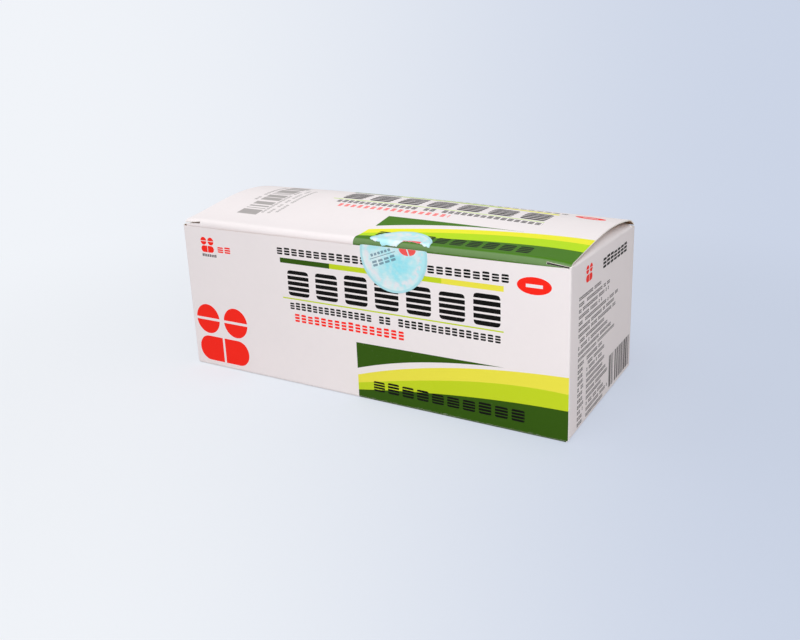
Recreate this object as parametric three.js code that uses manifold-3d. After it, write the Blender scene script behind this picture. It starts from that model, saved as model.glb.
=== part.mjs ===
// Box of tablets: a folding carton with a tuck-in lid and its torn round seal. Inside stand two
// rows of capped bottles, with their folded leaflets along the back panel.
// Millimetres. +X runs along the carton, -Y is the front panel's side and +Z is up.
// The origin is under the middle of the carton, on the surface that it stands on.

import * as THREE from 'three';
import { mergeVertices } from 'three/addons/utils/BufferGeometryUtils.js';
import Module from 'manifold-3d';

// Bottles
const bottleColumns = 5;
const bottleRows = 2;
const bottleDiameter = 31;
const bottleGap = 0.6; // between neighbouring bottles
const bodyHeight = 36; // foot to the start of the shoulder
const shoulderRise = 4;
const footRadius = 1.2;
const neckRadius = 9.4;
const roundSides = 20; // sides of each bottle and cap

// Screw caps
const capHeight = 11.6;
const capWall = 1.2;
const capEdge = 0.8; // chamfer round the cap's top
const threadGap = 0.4; // between the neck and the cap, all round and under the skirt

// Leaflets
const leafletLayers = 2;
const leafletThickness = 1.25;
const leafletSpacing = 1.6; // between the leaflets of neighbouring columns
const leafletHeight = 46;

// Carton
const board = 0.45;
const seatGap = 0.3; // the play of a piece that stands or leans on another
const endClearance = 1.85; // from the end bottles to the end panels
const headRoom = 4.8; // from the caps to the front panel's top edge
const foldRadius = 0.7; // outside of the upright folds
const foldSteps = 3;
const glueFlapWidth = 14;
const glueFlapInset = 3; // from the floor and from the top edge
const bottomSeam = 0.4; // between the two outer bottom flaps
const bottomSeamOffset = 4; // the seam lies this far behind the middle
const bottomSeamEnd = 29; // from the seam's ends to the end panels
const bottomNotch = 18; // half the width of the gap that shows each end flap

// Dust flaps
const dustLength = 35;
const dustInsetFront = 2.05; // from the front panel's inner face
const dustInsetBack = 3.5; // from the back panel's inner face
const dustTaper = 3; // each side edge draws in by this at the free end
const dustFoldRadius = 0.52; // middle of the board
const dustRoot = 0.75; // upright part of the fold that is drawn with the flap
const dustBow = 2.1;
const dustFrontLift = 0.3;
const dustBackLift = 1.2;
const dustRiseRun = 8; // the flap reaches its full bow this far in from the end panel

// Lid
const lidEndInset = 0.4; // from the carton's ends
const hingeGap = 0.4; // between the lid's rolled edge and the back panel
const hingeRelief = 2; // the end panels' top corners are cut back this far, under the lid's fold
const springBack = 1.7; // the panel springs up from its fold at the back
const springRun = 6.4;
const frontRise = 1.8; // the front crease stands above the front panel's edge
const leftLift = 1.2; // the left end of the crease stands higher still
const lidBowLeft = 6.4;
const lidBowMiddle = 6.3;
const lidBowRight = 2.5;
const crownShift = 1.27; // above 1, the bow's crown lies behind the middle
const creaseReach = 1.75; // the soft front crease takes up this much of the depth
const slitLength = 8; // slit locks, from each end of the lid
const tuckDepth = 14;
const tuckGap = 0.3; // between the tuck flap and the front panel
const tuckClearance = 0.4; // between the tuck flap and the bottles
const tuckInset = 0.8; // each end of the tuck flap, from the lid's ends
const tuckCorner = 6;
const leanMargin = THREE.MathUtils.degToRad(1.5);

// Seal
const sealDiameter = 27;
const sealOffset = 17.4; // centre of the seal, right of the middle
const sealDrop = 2.4; // centre of the seal, below the front panel's edge
const sealFilm = 0.12;
const sealLift = 0.15; // the torn part, off the lid's board
const sealShift = 1.6; // the torn part lies this far right of the whole part
const sealSides = 40;
// The torn edge, in shares of the seal's radius: along the lid from the torn part's centre, and back
// from the start of the crease.
const tearLine = [
  [-0.9, -0.03], [-0.74, -0.1], [-0.61, -0.1], [-0.55, 0.01], [-0.49, 0.02], [-0.45, -0.09], [-0.4, -0.13],
  [-0.15, -0.12], [0.07, -0.13], [0.13, -0.1], [0.18, 0.04], [0.4, 0.06], [0.59, 0], [0.79, -0.07], [0.9, -0.08],
];

// Worked-out sizes
const columnPitch = bottleDiameter + bottleGap;
const rowsDepth = bottleRows * columnPitch - bottleGap;
const leafletWidth = columnPitch - leafletSpacing;
const tuckLean = Math.asin(tuckDepth / (2 * rowsDepth)) + leanMargin; // its tip swings clear of the front panel
const tuckSpace = tuckGap + board + tuckDepth * Math.sin(tuckLean) + tuckClearance;
const leafletSpace = leafletLayers * (leafletThickness + seatGap) + seatGap;
const length = bottleColumns * columnPitch - bottleGap + 2 * (endClearance + board);
const depth = tuckSpace + rowsDepth + leafletSpace + 2 * board;
const floorTop = 2 * board;
const bottleHeight = bodyHeight + shoulderRise + threadGap + capHeight; // with its cap on
const height = floorTop + seatGap + bottleHeight + headRoom;
const innerFront = -depth / 2 + board;
const innerBack = depth / 2 - board;
const wallMiddle = (length - board) / 2;
const hinge = new THREE.Vector3(0, (depth - board) / 2, height);
const backTop = height - board / 2 - hingeGap;
const lidHalf = length / 2 - lidEndInset;
const slitStart = lidHalf - slitLength;
const creaseStart = innerFront + tuckGap + board / 2 + creaseReach;
const panelRun = hinge.y - creaseStart;

const wasm = await Module();
wasm.setup();

// Turns a closed geometry into an indexed one: shared corners merged, flattened triangles dropped.
function welded(geometry) {
  geometry.deleteAttribute('normal');
  geometry.deleteAttribute('uv');
  const merged = mergeVertices(geometry);
  const corners = merged.index.array;
  const kept = [];
  for (let i = 0; i < corners.length; i += 3) {
    const [a, b, c] = corners.slice(i, i + 3);
    if (a !== b && b !== c && c !== a) kept.push(a, b, c);
  }
  merged.setIndex(kept);
  return merged;
}

function solidOf(geometry) {
  const closed = welded(geometry);
  const vertProperties = new Float32Array(closed.attributes.position.array);
  const triVerts = new Uint32Array(closed.index.array);
  return new wasm.Manifold(new wasm.Mesh({ numProp: 3, vertProperties, triVerts }));
}

function geometryOf(solid) {
  const mesh = solid.getMesh();
  const geometry = new THREE.BufferGeometry();
  geometry.setAttribute('position', new THREE.BufferAttribute(mesh.vertProperties, 3));
  geometry.setIndex(Array.from(mesh.triVerts));
  return geometry;
}

function block(low, high) {
  const size = high.map((value, axis) => value - low[axis]);
  const middle = high.map((value, axis) => (value + low[axis]) / 2);
  return new THREE.BoxGeometry(...size).translate(...middle);
}

// An outline in the X-Z plane, given its thickness towards -Y from the plane y.
function uprightPlate(shape, thickness, y, curveSegments) {
  const plate = new THREE.ExtrudeGeometry(shape, { depth: thickness, bevelEnabled: false, curveSegments });
  return plate.rotateX(Math.PI / 2).translate(0, y, 0);
}

function turned(profile) {
  const points = profile.map(([radius, z]) => new THREE.Vector2(radius, z));
  return welded(new THREE.LatheGeometry(points, roundSides).rotateX(Math.PI / 2));
}

// The middle points of a folded sheet, and at each its normal, from the cells of board around it.
function sheetPoints(columns, rows, pointAt, isBoard) {
  const points = [];
  for (let i = 0; i <= columns; i++) {
    for (let j = 0; j <= rows; j++) points.push({ middle: pointAt(i, j), normal: new THREE.Vector3() });
  }
  for (let i = 0; i < columns; i++) {
    for (let j = 0; j < rows; j++) {
      if (!isBoard(i, j)) continue;
      const corners = cellCorners(i, j, rows).map((corner) => points[corner]);
      const [a, b, c, d] = corners.map((corner) => corner.middle);
      const normal = c.clone().sub(a).cross(d.clone().sub(b));
      corners.forEach((corner) => corner.normal.add(normal));
    }
  }
  points.forEach((point) => point.normal.normalize());
  return points;
}

function cellCorners(i, j, rows) {
  const corner = (column, row) => column * (rows + 1) + row;
  return [corner(i, j), corner(i + 1, j), corner(i + 1, j + 1), corner(i, j + 1)];
}

// A folded sheet as one closed solid: a grid of middle points, thickened to both sides. Cells that
// kept(i, j) refuses are cut away. A rolled sheet ends in a half-round edge along its first row.
function sheet({ columns, rows, pointAt, thickness, kept = () => true, rolled = false }) {
  const isBoard = (i, j) => i >= 0 && j >= 0 && i < columns && j < rows && kept(i, j);
  const points = sheetPoints(columns, rows, pointAt, isBoard);
  const positions = [];
  const index = [];
  for (const { middle, normal } of points) {
    for (const side of [0.5, -0.5]) {
      positions.push(...middle.clone().addScaledVector(normal, side * thickness).toArray());
    }
  }
  const top = (corner) => 2 * corner;
  const bottom = (corner) => 2 * corner + 1;
  const quad = (a, b, c, d) => index.push(a, b, c, a, c, d);
  for (let i = 0; i < columns; i++) {
    for (let j = 0; j < rows; j++) {
      if (!isBoard(i, j)) continue;
      const corners = cellCorners(i, j, rows);
      quad(...corners.map(top));
      quad(...corners.map(bottom).reverse());
      const beside = [isBoard(i, j - 1) || (rolled && j === 0), isBoard(i + 1, j), isBoard(i, j + 1), isBoard(i - 1, j)];
      beside.forEach((joined, side) => {
        const [from, to] = [corners[side], corners[(side + 1) % 4]];
        if (!joined) quad(bottom(from), bottom(to), top(to), top(from));
      });
    }
  }
  if (rolled) rollFirstRow(columns, rows, points, thickness, positions, index);
  const geometry = new THREE.BufferGeometry();
  geometry.setAttribute('position', new THREE.Float32BufferAttribute(positions, 3));
  geometry.setIndex(index);
  return geometry;
}

// Closes the first row of a sheet with a half-round edge about the row itself.
function rollFirstRow(columns, rows, points, thickness, positions, index) {
  const rollSteps = 4;
  const along = new THREE.Vector3(1, 0, 0);
  const ring = [];
  for (let i = 0; i <= columns; i++) {
    const corner = i * (rows + 1);
    const { middle, normal } = points[corner];
    const outward = along.clone().cross(normal).normalize();
    const arc = [2 * corner + 1];
    for (let step = 1; step < rollSteps; step++) {
      const angle = (Math.PI * step) / rollSteps;
      const rim = middle.clone().addScaledVector(normal, (-Math.cos(angle) * thickness) / 2);
      rim.addScaledVector(outward, (Math.sin(angle) * thickness) / 2);
      arc.push(positions.length / 3);
      positions.push(...rim.toArray());
    }
    arc.push(2 * corner);
    ring.push(arc);
  }
  for (let i = 0; i < columns; i++) {
    for (let step = 0; step < rollSteps; step++) {
      const [a, b, c, d] = [ring[i][step], ring[i + 1][step], ring[i + 1][step + 1], ring[i][step + 1]];
      index.push(a, b, c, a, c, d);
    }
  }
  for (let step = 1; step < rollSteps; step++) {
    const [first, last] = [ring[0], ring[columns]];
    index.push(first[0], first[step], first[step + 1]);
    index.push(last[0], last[step + 1], last[step]);
  }
}

// Carton

function roundedRectangle(path, halfLength, halfDepth, radius) {
  const [x, y] = [halfLength - radius, halfDepth - radius];
  const quarter = Math.PI / 2;
  path.absarc(x, y, radius, 0, quarter);
  path.absarc(-x, y, radius, quarter, 2 * quarter);
  path.absarc(-x, -y, radius, 2 * quarter, 3 * quarter);
  path.absarc(x, -y, radius, 3 * quarter, 4 * quarter);
  return path;
}

function panels() {
  const outline = roundedRectangle(new THREE.Shape(), length / 2, depth / 2, foldRadius);
  const innerRadius = foldRadius - board;
  const inside = roundedRectangle(new THREE.Path(), length / 2 - board, depth / 2 - board, innerRadius);
  outline.holes.push(inside);
  return new THREE.ExtrudeGeometry(outline, { depth: height, bevelEnabled: false, curveSegments: foldSteps });
}

// The gap between the two outer bottom flaps. It opens to a triangle at each end, over the end flaps.
function bottomGap() {
  const seamX = length / 2 - bottomSeamEnd;
  const endX = length / 2 - board;
  const middle = bottomSeamOffset;
  const outline = new THREE.Shape([
    new THREE.Vector2(seamX, middle + bottomSeam / 2),
    new THREE.Vector2(-seamX, middle + bottomSeam / 2),
    new THREE.Vector2(-endX, middle + bottomNotch),
    new THREE.Vector2(-endX, middle - bottomNotch),
    new THREE.Vector2(-seamX, middle - bottomSeam / 2),
    new THREE.Vector2(seamX, middle - bottomSeam / 2),
    new THREE.Vector2(endX, middle - bottomNotch),
    new THREE.Vector2(endX, middle + bottomNotch),
  ]);
  return new THREE.ExtrudeGeometry(outline, { depth: 2 * board, bevelEnabled: false }).translate(0, 0, -board);
}

// The flap that joins the back panel to the left end panel, on the end panel's inner face.
function glueFlap() {
  const low = floorTop + glueFlapInset;
  const high = height - glueFlapInset;
  const freeEdge = innerBack - glueFlapWidth;
  const outline = new THREE.Shape([
    new THREE.Vector2(innerBack + board / 2, low),
    new THREE.Vector2(innerBack + board / 2, high),
    new THREE.Vector2(freeEdge, high - glueFlapInset),
    new THREE.Vector2(freeEdge, low + glueFlapInset),
  ]);
  const plate = new THREE.ExtrudeGeometry(outline, { depth: 1.5 * board, bevelEnabled: false });
  return plate.rotateX(Math.PI / 2).rotateZ(Math.PI / 2).translate(-wallMiddle, 0, 0);
}

// The dust flap's middle line from the end panel inwards: distance in from the wall, and height.
function dustPath() {
  const path = [[0, height - board / 2 - dustFoldRadius - dustRoot]];
  for (let step = 0; step <= foldSteps; step++) {
    const angle = (Math.PI / 2) * (step / foldSteps);
    const centreZ = height - board / 2 - dustFoldRadius;
    path.push([dustFoldRadius * (1 - Math.cos(angle)), centreZ + dustFoldRadius * Math.sin(angle)]);
  }
  const inwardStops = [0.05, 0.1, 0.16, 0.24, 0.4, 0.6, 0.8, 0.94, 1];
  inwardStops.forEach((stop) => path.push([stop * dustLength, height - board / 2]));
  return path;
}

function dustFlap(end) {
  const path = dustPath();
  const columns = 10;
  const front = innerFront + dustInsetFront;
  const back = innerBack - dustInsetBack;
  const pointAt = (i, j) => {
    const [inward, z] = path[j];
    const across = end > 0 ? i / columns : 1 - i / columns;
    const taper = dustTaper * (inward / dustLength) ** 2;
    const edgeLift = THREE.MathUtils.lerp(dustFrontLift, dustBackLift, across);
    const ramp = 1 - (1 - Math.min(inward / dustRiseRun, 1)) ** 3;
    const rise = (edgeLift + dustBow * Math.sin(Math.PI * across)) * ramp;
    const y = THREE.MathUtils.lerp(front + taper, back - taper, across);
    return new THREE.Vector3(end * (wallMiddle - inward), y, z + rise);
  };
  return sheet({ columns, rows: path.length - 1, pointAt, thickness: board });
}

// What is cut from the four panels: the end panels' top strips, which the dust flaps' folds replace,
// and the back panel's top edge, where the lid is hinged.
function topCuts() {
  const above = height + board;
  const stripBottom = height - board / 2 - dustFoldRadius - dustRoot / 2;
  const cuts = [block([-length, innerBack - hingeRelief, backTop], [length, depth, above])];
  for (const end of [-1, 1]) {
    const nearX = end * (wallMiddle - board);
    const farX = end * (wallMiddle + board);
    const low = [Math.min(nearX, farX), innerFront + dustInsetFront, stripBottom];
    const high = [Math.max(nearX, farX), innerBack - dustInsetBack, above];
    cuts.push(block(low, high));
  }
  return cuts;
}

function carton() {
  const floor = block([-wallMiddle, -hinge.y, 0], [wallMiddle, hinge.y, floorTop]);
  let solid = solidOf(panels()).add(solidOf(floor)).subtract(solidOf(bottomGap()));
  for (const cut of topCuts()) solid = solid.subtract(solidOf(cut));
  for (const flap of [dustFlap(-1), dustFlap(1), glueFlap()]) solid = solid.add(solidOf(flap));
  return geometryOf(solid);
}

// Lid

// How far the lid panel's middle stands above the hinge, where run is 0 at the hinge and 1 at the crease.
function lidRise(x, run) {
  const u = x / lidHalf;
  const bow = (lidBowLeft * u * (u - 1)) / 2 + lidBowMiddle * (1 - u * u) + (lidBowRight * u * (u + 1)) / 2;
  const crease = frontRise + leftLift * Math.max(-u, 0) ** 3;
  const spring = 1 - (1 - Math.min((run * panelRun) / springRun, 1)) ** 2;
  return THREE.MathUtils.lerp(springBack, crease, run) * spring + bow * Math.sin(Math.PI * (1 - run) ** crownShift);
}

// The soft crease at x: the panel's slope where the crease starts, its radius and how far it turns.
function creaseAt(x) {
  const step = 0.05;
  const slope = Math.atan((lidRise(x, 1 - step) - lidRise(x, 1)) / (step * panelRun));
  return { slope, radius: creaseReach / (1 - Math.sin(slope)), turn: Math.PI / 2 + tuckLean - slope };
}

// The middle of the lid's board. stage runs 0 to 1 over the panel, to 2 round the crease and to 3
// down the tuck flap. A straight point carries on along the panel where the crease would turn down.
function lidPoint(x, stage, straight = 0) {
  if (stage <= 1) return new THREE.Vector3(x, hinge.y - stage * panelRun, hinge.z + lidRise(x, stage));
  const { slope, radius, turn } = creaseAt(x);
  const start = new THREE.Vector3(x, creaseStart, hinge.z + lidRise(x, 1));
  const heading = slope + turn * Math.min(stage - 1, 1);
  const bent = start.clone();
  bent.y -= radius * (Math.sin(heading) - Math.sin(slope));
  bent.z -= radius * (Math.cos(slope) - Math.cos(heading));
  const downTuck = tuckDepth * Math.max(stage - 2, 0);
  bent.y -= downTuck * Math.cos(heading);
  bent.z -= downTuck * Math.sin(heading);
  const ahead = radius * turn * (stage - 1);
  const level = start.clone().add(new THREE.Vector3(0, -Math.cos(slope) * ahead, -Math.sin(slope) * ahead));
  return bent.lerp(level, straight);
}

// How far the tuck flap's end is drawn in from the lid's end, at a distance from its lower edge.
function tuckEndInset(fromEdge) {
  const corner = Math.max(tuckCorner - fromEdge, 0);
  return tuckInset + tuckCorner - Math.sqrt(tuckCorner ** 2 - corner ** 2);
}

function lid() {
  const bays = 14;
  const slitBays = 3;
  const panelRows = 17;
  const creaseRows = 6;
  const slitRow = panelRows + creaseRows / 2;
  const tuckStops = [0.35, 0.6, 0.75, 0.88, 0.96, 1];
  const outer = [1, 2, 3].map((step) => slitStart + (slitLength * step) / slitBays);
  const inner = Array.from({ length: bays + 1 }, (_, i) => slitStart * ((2 * i) / bays - 1));
  const stations = [...outer.map((x) => -x).reverse(), ...inner, ...outer];
  const stages = Array.from({ length: panelRows + 1 }, (_, j) => (j / panelRows) ** 1.4);
  for (let j = 1; j <= creaseRows; j++) stages.push(1 + j / creaseRows);
  tuckStops.forEach((stop) => stages.push(2 + stop));
  const beyondSlit = (x) => (Math.abs(x) - slitStart) / slitLength;
  const pointAt = (i, j) => {
    const share = Math.max(beyondSlit(stations[i]), 0);
    const isTuck = j > slitRow;
    const inset = isTuck ? tuckEndInset(tuckDepth * (3 - Math.max(stages[j], 2))) : 0;
    const x = stations[i] - Math.sign(stations[i]) * inset * share;
    return lidPoint(x, stages[j], isTuck ? 0 : Math.min(share * slitBays, 1));
  };
  const isSlit = (i, j) => j === slitRow && beyondSlit((stations[i] + stations[i + 1]) / 2) > 0;
  const kept = (i, j) => !isSlit(i, j);
  const rows = stages.length - 1;
  return sheet({ columns: stations.length - 1, rows, pointAt, thickness: board, kept, rolled: true });
}

// Seal

// The whole part of the seal: a disc on the front panel, cut straight along the panel's top edge.
function sealLower() {
  const radius = sealDiameter / 2;
  const cut = Math.asin(sealDrop / radius);
  const disc = new THREE.Shape();
  disc.absarc(sealOffset, height - sealDrop, radius, Math.PI - cut, 2 * Math.PI + cut);
  return welded(uprightPlate(disc, sealFilm, -depth / 2, sealSides));
}

// The torn part of the seal, which follows the lid from the torn edge back to the disc's round edge.
function sealUpper() {
  const rows = 8;
  const crowding = 1.5; // the rows lie closer round the crease
  const radius = sealDiameter / 2;
  const pointAt = (i, j) => {
    const [offset, torn] = tearLine[i].map((share) => share * radius);
    const x = sealOffset + sealShift + offset;
    const crease = creaseAt(x);
    const creaseArc = crease.radius * crease.turn;
    const rim = Math.sqrt(radius ** 2 - offset ** 2) - sealDrop - creaseArc;
    const back = THREE.MathUtils.lerp(torn, rim, (j / rows) ** crowding);
    const stage = back > 0 ? 1 - back / panelRun : 1 - back / creaseArc;
    const nearby = 0.001;
    const point = lidPoint(x, stage);
    const ahead = lidPoint(x, stage + nearby).sub(lidPoint(x, stage - nearby)).normalize();
    const outward = new THREE.Vector3(0, ahead.z, -ahead.y);
    return point.addScaledVector(outward, board / 2 + sealLift + sealFilm / 2);
  };
  return sheet({ columns: tearLine.length - 1, rows, pointAt, thickness: sealFilm });
}

// Contents

function bottle() {
  const radius = bottleDiameter / 2;
  const shoulderSteps = 3;
  const profile = [[0, 0], [radius - footRadius, 0], [radius, footRadius]];
  for (let step = 0; step <= shoulderSteps; step++) {
    const angle = (Math.PI / 2) * (step / shoulderSteps);
    const out = neckRadius + (radius - neckRadius) * Math.cos(angle);
    profile.push([out, bodyHeight + shoulderRise * Math.sin(angle)]);
  }
  const neckTop = bottleHeight - capWall - threadGap;
  profile.push([neckRadius, neckTop], [0, neckTop]);
  return turned(profile);
}

function cap() {
  const inside = neckRadius + threadGap;
  const outside = inside + capWall;
  const ceiling = capHeight - capWall;
  return turned([
    [0, ceiling], [inside, ceiling], [inside, 0], [outside, 0],
    [outside, capHeight - capEdge], [outside - capEdge, capHeight], [0, capHeight],
  ]);
}

// A folded leaflet standing on edge, with its last fold, which is round, at the top.
function leaflet() {
  const radius = leafletThickness / 2;
  const outline = new THREE.Shape();
  outline.moveTo(-radius, 0);
  outline.lineTo(radius, 0);
  outline.absarc(0, leafletHeight - radius, radius, 0, Math.PI);
  const slab = new THREE.ExtrudeGeometry(outline, { depth: leafletWidth, bevelEnabled: false, curveSegments: 6 });
  return welded(slab.rotateX(Math.PI / 2).rotateZ(Math.PI / 2).translate(-leafletWidth / 2, 0, 0));
}

// Assembly

const finishes = {
  board: new THREE.MeshStandardMaterial({ color: 0xf1ecec, roughness: 0.45, metalness: 0 }),
  seal: new THREE.MeshStandardMaterial({ color: 0xb9e2ea, roughness: 0.3, metalness: 0 }),
  bottle: new THREE.MeshStandardMaterial({ color: 0xf5f5f2, roughness: 0.4, metalness: 0 }),
  cap: new THREE.MeshStandardMaterial({ color: 0xfafafa, roughness: 0.5, metalness: 0 }),
  paper: new THREE.MeshStandardMaterial({ color: 0xeeece6, roughness: 0.8, metalness: 0 }),
};

const boxOfTablets = new THREE.Group();

function place(name, geometry, finish, x = 0, y = 0, z = 0) {
  const mesh = new THREE.Mesh(geometry, finish.clone());
  mesh.name = name;
  mesh.position.set(x, y, z);
  boxOfTablets.add(mesh);
}

function placeContents() {
  const standing = floorTop + seatGap;
  const firstX = (-(bottleColumns - 1) * columnPitch) / 2;
  const firstRow = innerFront + tuckSpace + bottleDiameter / 2;
  const firstLayer = firstRow + rowsDepth - bottleDiameter / 2 + seatGap + leafletThickness / 2;
  const numbered = (name, number) => `${name}_${String(number).padStart(2, '0')}`;
  for (let column = 0; column < bottleColumns; column++) {
    const x = firstX + column * columnPitch;
    for (let row = 0; row < bottleRows; row++) {
      const number = column * bottleRows + row + 1;
      const y = firstRow + row * columnPitch;
      place(numbered('bottle', number), bottle(), finishes.bottle, x, y, standing);
      place(numbered('cap', number), cap(), finishes.cap, x, y, standing + bottleHeight - capHeight);
    }
    for (let layer = 0; layer < leafletLayers; layer++) {
      const number = column * leafletLayers + layer + 1;
      const y = firstLayer + layer * (leafletThickness + seatGap);
      place(numbered('leaflet', number), leaflet(), finishes.paper, x, y, standing);
    }
  }
}

place('carton', carton(), finishes.board);
place('lid', lid(), finishes.board);
place('seal_lower', sealLower(), finishes.seal);
place('seal_upper', sealUpper(), finishes.seal);
placeContents();

export default boxOfTablets;
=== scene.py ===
# %% [markdown]
# # Box of tablets
# A folding carton of white-coated board with a tuck-in lid, held shut by a round film seal that is torn.
# Ten capped bottles and ten folded leaflets stand inside. The packed CAD model is loaded first, because
# every piece below takes its place and its motion from it. Sizes are in millimetres until a mesh is made.

# %% Load the packed model
import math
import bmesh
import bpy
import numpy as np
from mathutils import Matrix, Vector


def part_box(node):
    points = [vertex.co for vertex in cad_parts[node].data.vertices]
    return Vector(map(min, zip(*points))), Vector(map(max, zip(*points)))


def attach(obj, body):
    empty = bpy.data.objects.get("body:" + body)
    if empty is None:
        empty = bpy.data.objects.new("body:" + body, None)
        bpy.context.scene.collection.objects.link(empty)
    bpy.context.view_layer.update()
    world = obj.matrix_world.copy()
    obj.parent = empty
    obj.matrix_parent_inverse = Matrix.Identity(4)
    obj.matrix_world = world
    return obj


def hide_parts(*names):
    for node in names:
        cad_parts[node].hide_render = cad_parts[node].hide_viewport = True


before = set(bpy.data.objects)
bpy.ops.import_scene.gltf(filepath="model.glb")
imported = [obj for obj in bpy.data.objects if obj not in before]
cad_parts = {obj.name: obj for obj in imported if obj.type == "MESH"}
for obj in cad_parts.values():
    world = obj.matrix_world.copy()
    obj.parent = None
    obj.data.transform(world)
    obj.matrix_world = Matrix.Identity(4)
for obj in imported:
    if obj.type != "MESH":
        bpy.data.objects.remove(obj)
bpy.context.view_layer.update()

# %% [markdown]
# ## Sizes
# The carton is as long as five bottles, as deep as two bottles with their leaflets and the tuck flap, and
# as tall as a capped bottle with some head room. These are the same values that the CAD source uses.

# %% Sizes shared by the pieces
BOARD = 0.45
LENGTH, DEPTH, HEIGHT = 162.0, 69.979, 58.0
INNER_FRONT, INNER_BACK = -DEPTH / 2 + BOARD, DEPTH / 2 - BOARD
WALL_MIDDLE = (LENGTH - BOARD) / 2
HINGE_Y, HINGE_Z = (DEPTH - BOARD) / 2, HEIGHT
LID_HALF = LENGTH / 2 - 0.4
CREASE_REACH = 1.75
CREASE_START = INNER_FRONT + 0.3 + BOARD / 2 + CREASE_REACH
PANEL_RUN = HINGE_Y - CREASE_START
SLIT_LENGTH = 8.0
SLIT_START = LID_HALF - SLIT_LENGTH
TUCK_DEPTH, TUCK_CORNER = 14.0, 6.0
TUCK_LEAN = math.asin(TUCK_DEPTH / (2 * 62.6)) + math.radians(1.5)
SEAL_RADIUS, SEAL_X, SEAL_DROP, FILM = 13.5, 17.4, 2.4, 0.12

# %% [markdown]
# ## Camera
# The photograph was taken from the right of the front and a little above. The angle, the lens and the
# off-centre crop were worked out from six corners of the box.

# %% Camera at the photograph's angle
VIEW_POINT = (0.1547, -0.23977, 0.1163)


def aim_camera():
    azimuth, elevation, roll = (math.radians(a) for a in (27.0049, 14.5787, -0.7423))
    back = Vector((math.sin(azimuth) * math.cos(elevation), -math.cos(azimuth) * math.cos(elevation),
                   math.sin(elevation)))
    right = (-back).cross(Vector((0, 0, 1))).normalized()
    up = right.cross(-back)
    tilted = right * math.cos(roll) + up * math.sin(roll)
    upright = up * math.cos(roll) - right * math.sin(roll)
    lens = bpy.data.cameras.new("camera")
    lens.sensor_width = 36
    lens.lens = 33.631
    lens.shift_x, lens.shift_y = -0.10, -0.0725
    lens.clip_start, lens.clip_end = 0.01, 20
    camera = bpy.data.objects.new("camera", lens)
    turn = Matrix((tilted, upright, back)).transposed()
    camera.matrix_world = Matrix.Translation(Vector(VIEW_POINT)) @ turn.to_4x4()
    bpy.context.scene.collection.objects.link(camera)
    bpy.context.scene.camera = camera
    return camera


camera = aim_camera()
bpy.context.scene.view_settings.view_transform = "Standard"
print("camera at", [round(value, 4) for value in camera.location])

# %% [markdown]
# ## Shader maths
# Print, fibres and wear are all sums over a surface. One small class lets them be written as ordinary
# Python expressions: each operator adds the Math node that it stands for.

# %% Sockets as numbers
class Value:
    def __init__(self, paint, socket):
        self.paint, self.socket = paint, socket

    def _math(self, operation, *others):
        return self.paint.math(operation, self, *others)

    def __add__(self, other):
        return self._math("ADD", other)

    def __mul__(self, other):
        return self._math("MULTIPLY", other)

    __radd__, __rmul__ = __add__, __mul__

    def __sub__(self, other):
        return self._math("SUBTRACT", other)

    def __rsub__(self, other):
        return self.paint.math("SUBTRACT", other, self)

    def __truediv__(self, other):
        return self._math("DIVIDE", other)

    def __rtruediv__(self, other):
        return self.paint.math("DIVIDE", other, self)

    def __pow__(self, other):
        return self._math("POWER", other)

    def __gt__(self, other):
        return self._math("GREATER_THAN", other)

    def __lt__(self, other):
        return self._math("LESS_THAN", other)

    def __and__(self, other):
        return self._math("MINIMUM", other)

    def __or__(self, other):
        return self._math("MAXIMUM", other)


print("operators", [name for name in vars(Value) if name.startswith("__") and name != "__init__"][:4], "...")

# %% [markdown]
# A second class holds one material and its nodes. Every node comes from its node() method, which sets the
# node's own settings first and then its sockets, each with a number, a colour or another node's result.
# The other methods are short names for the nodes that come again and again.

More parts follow.
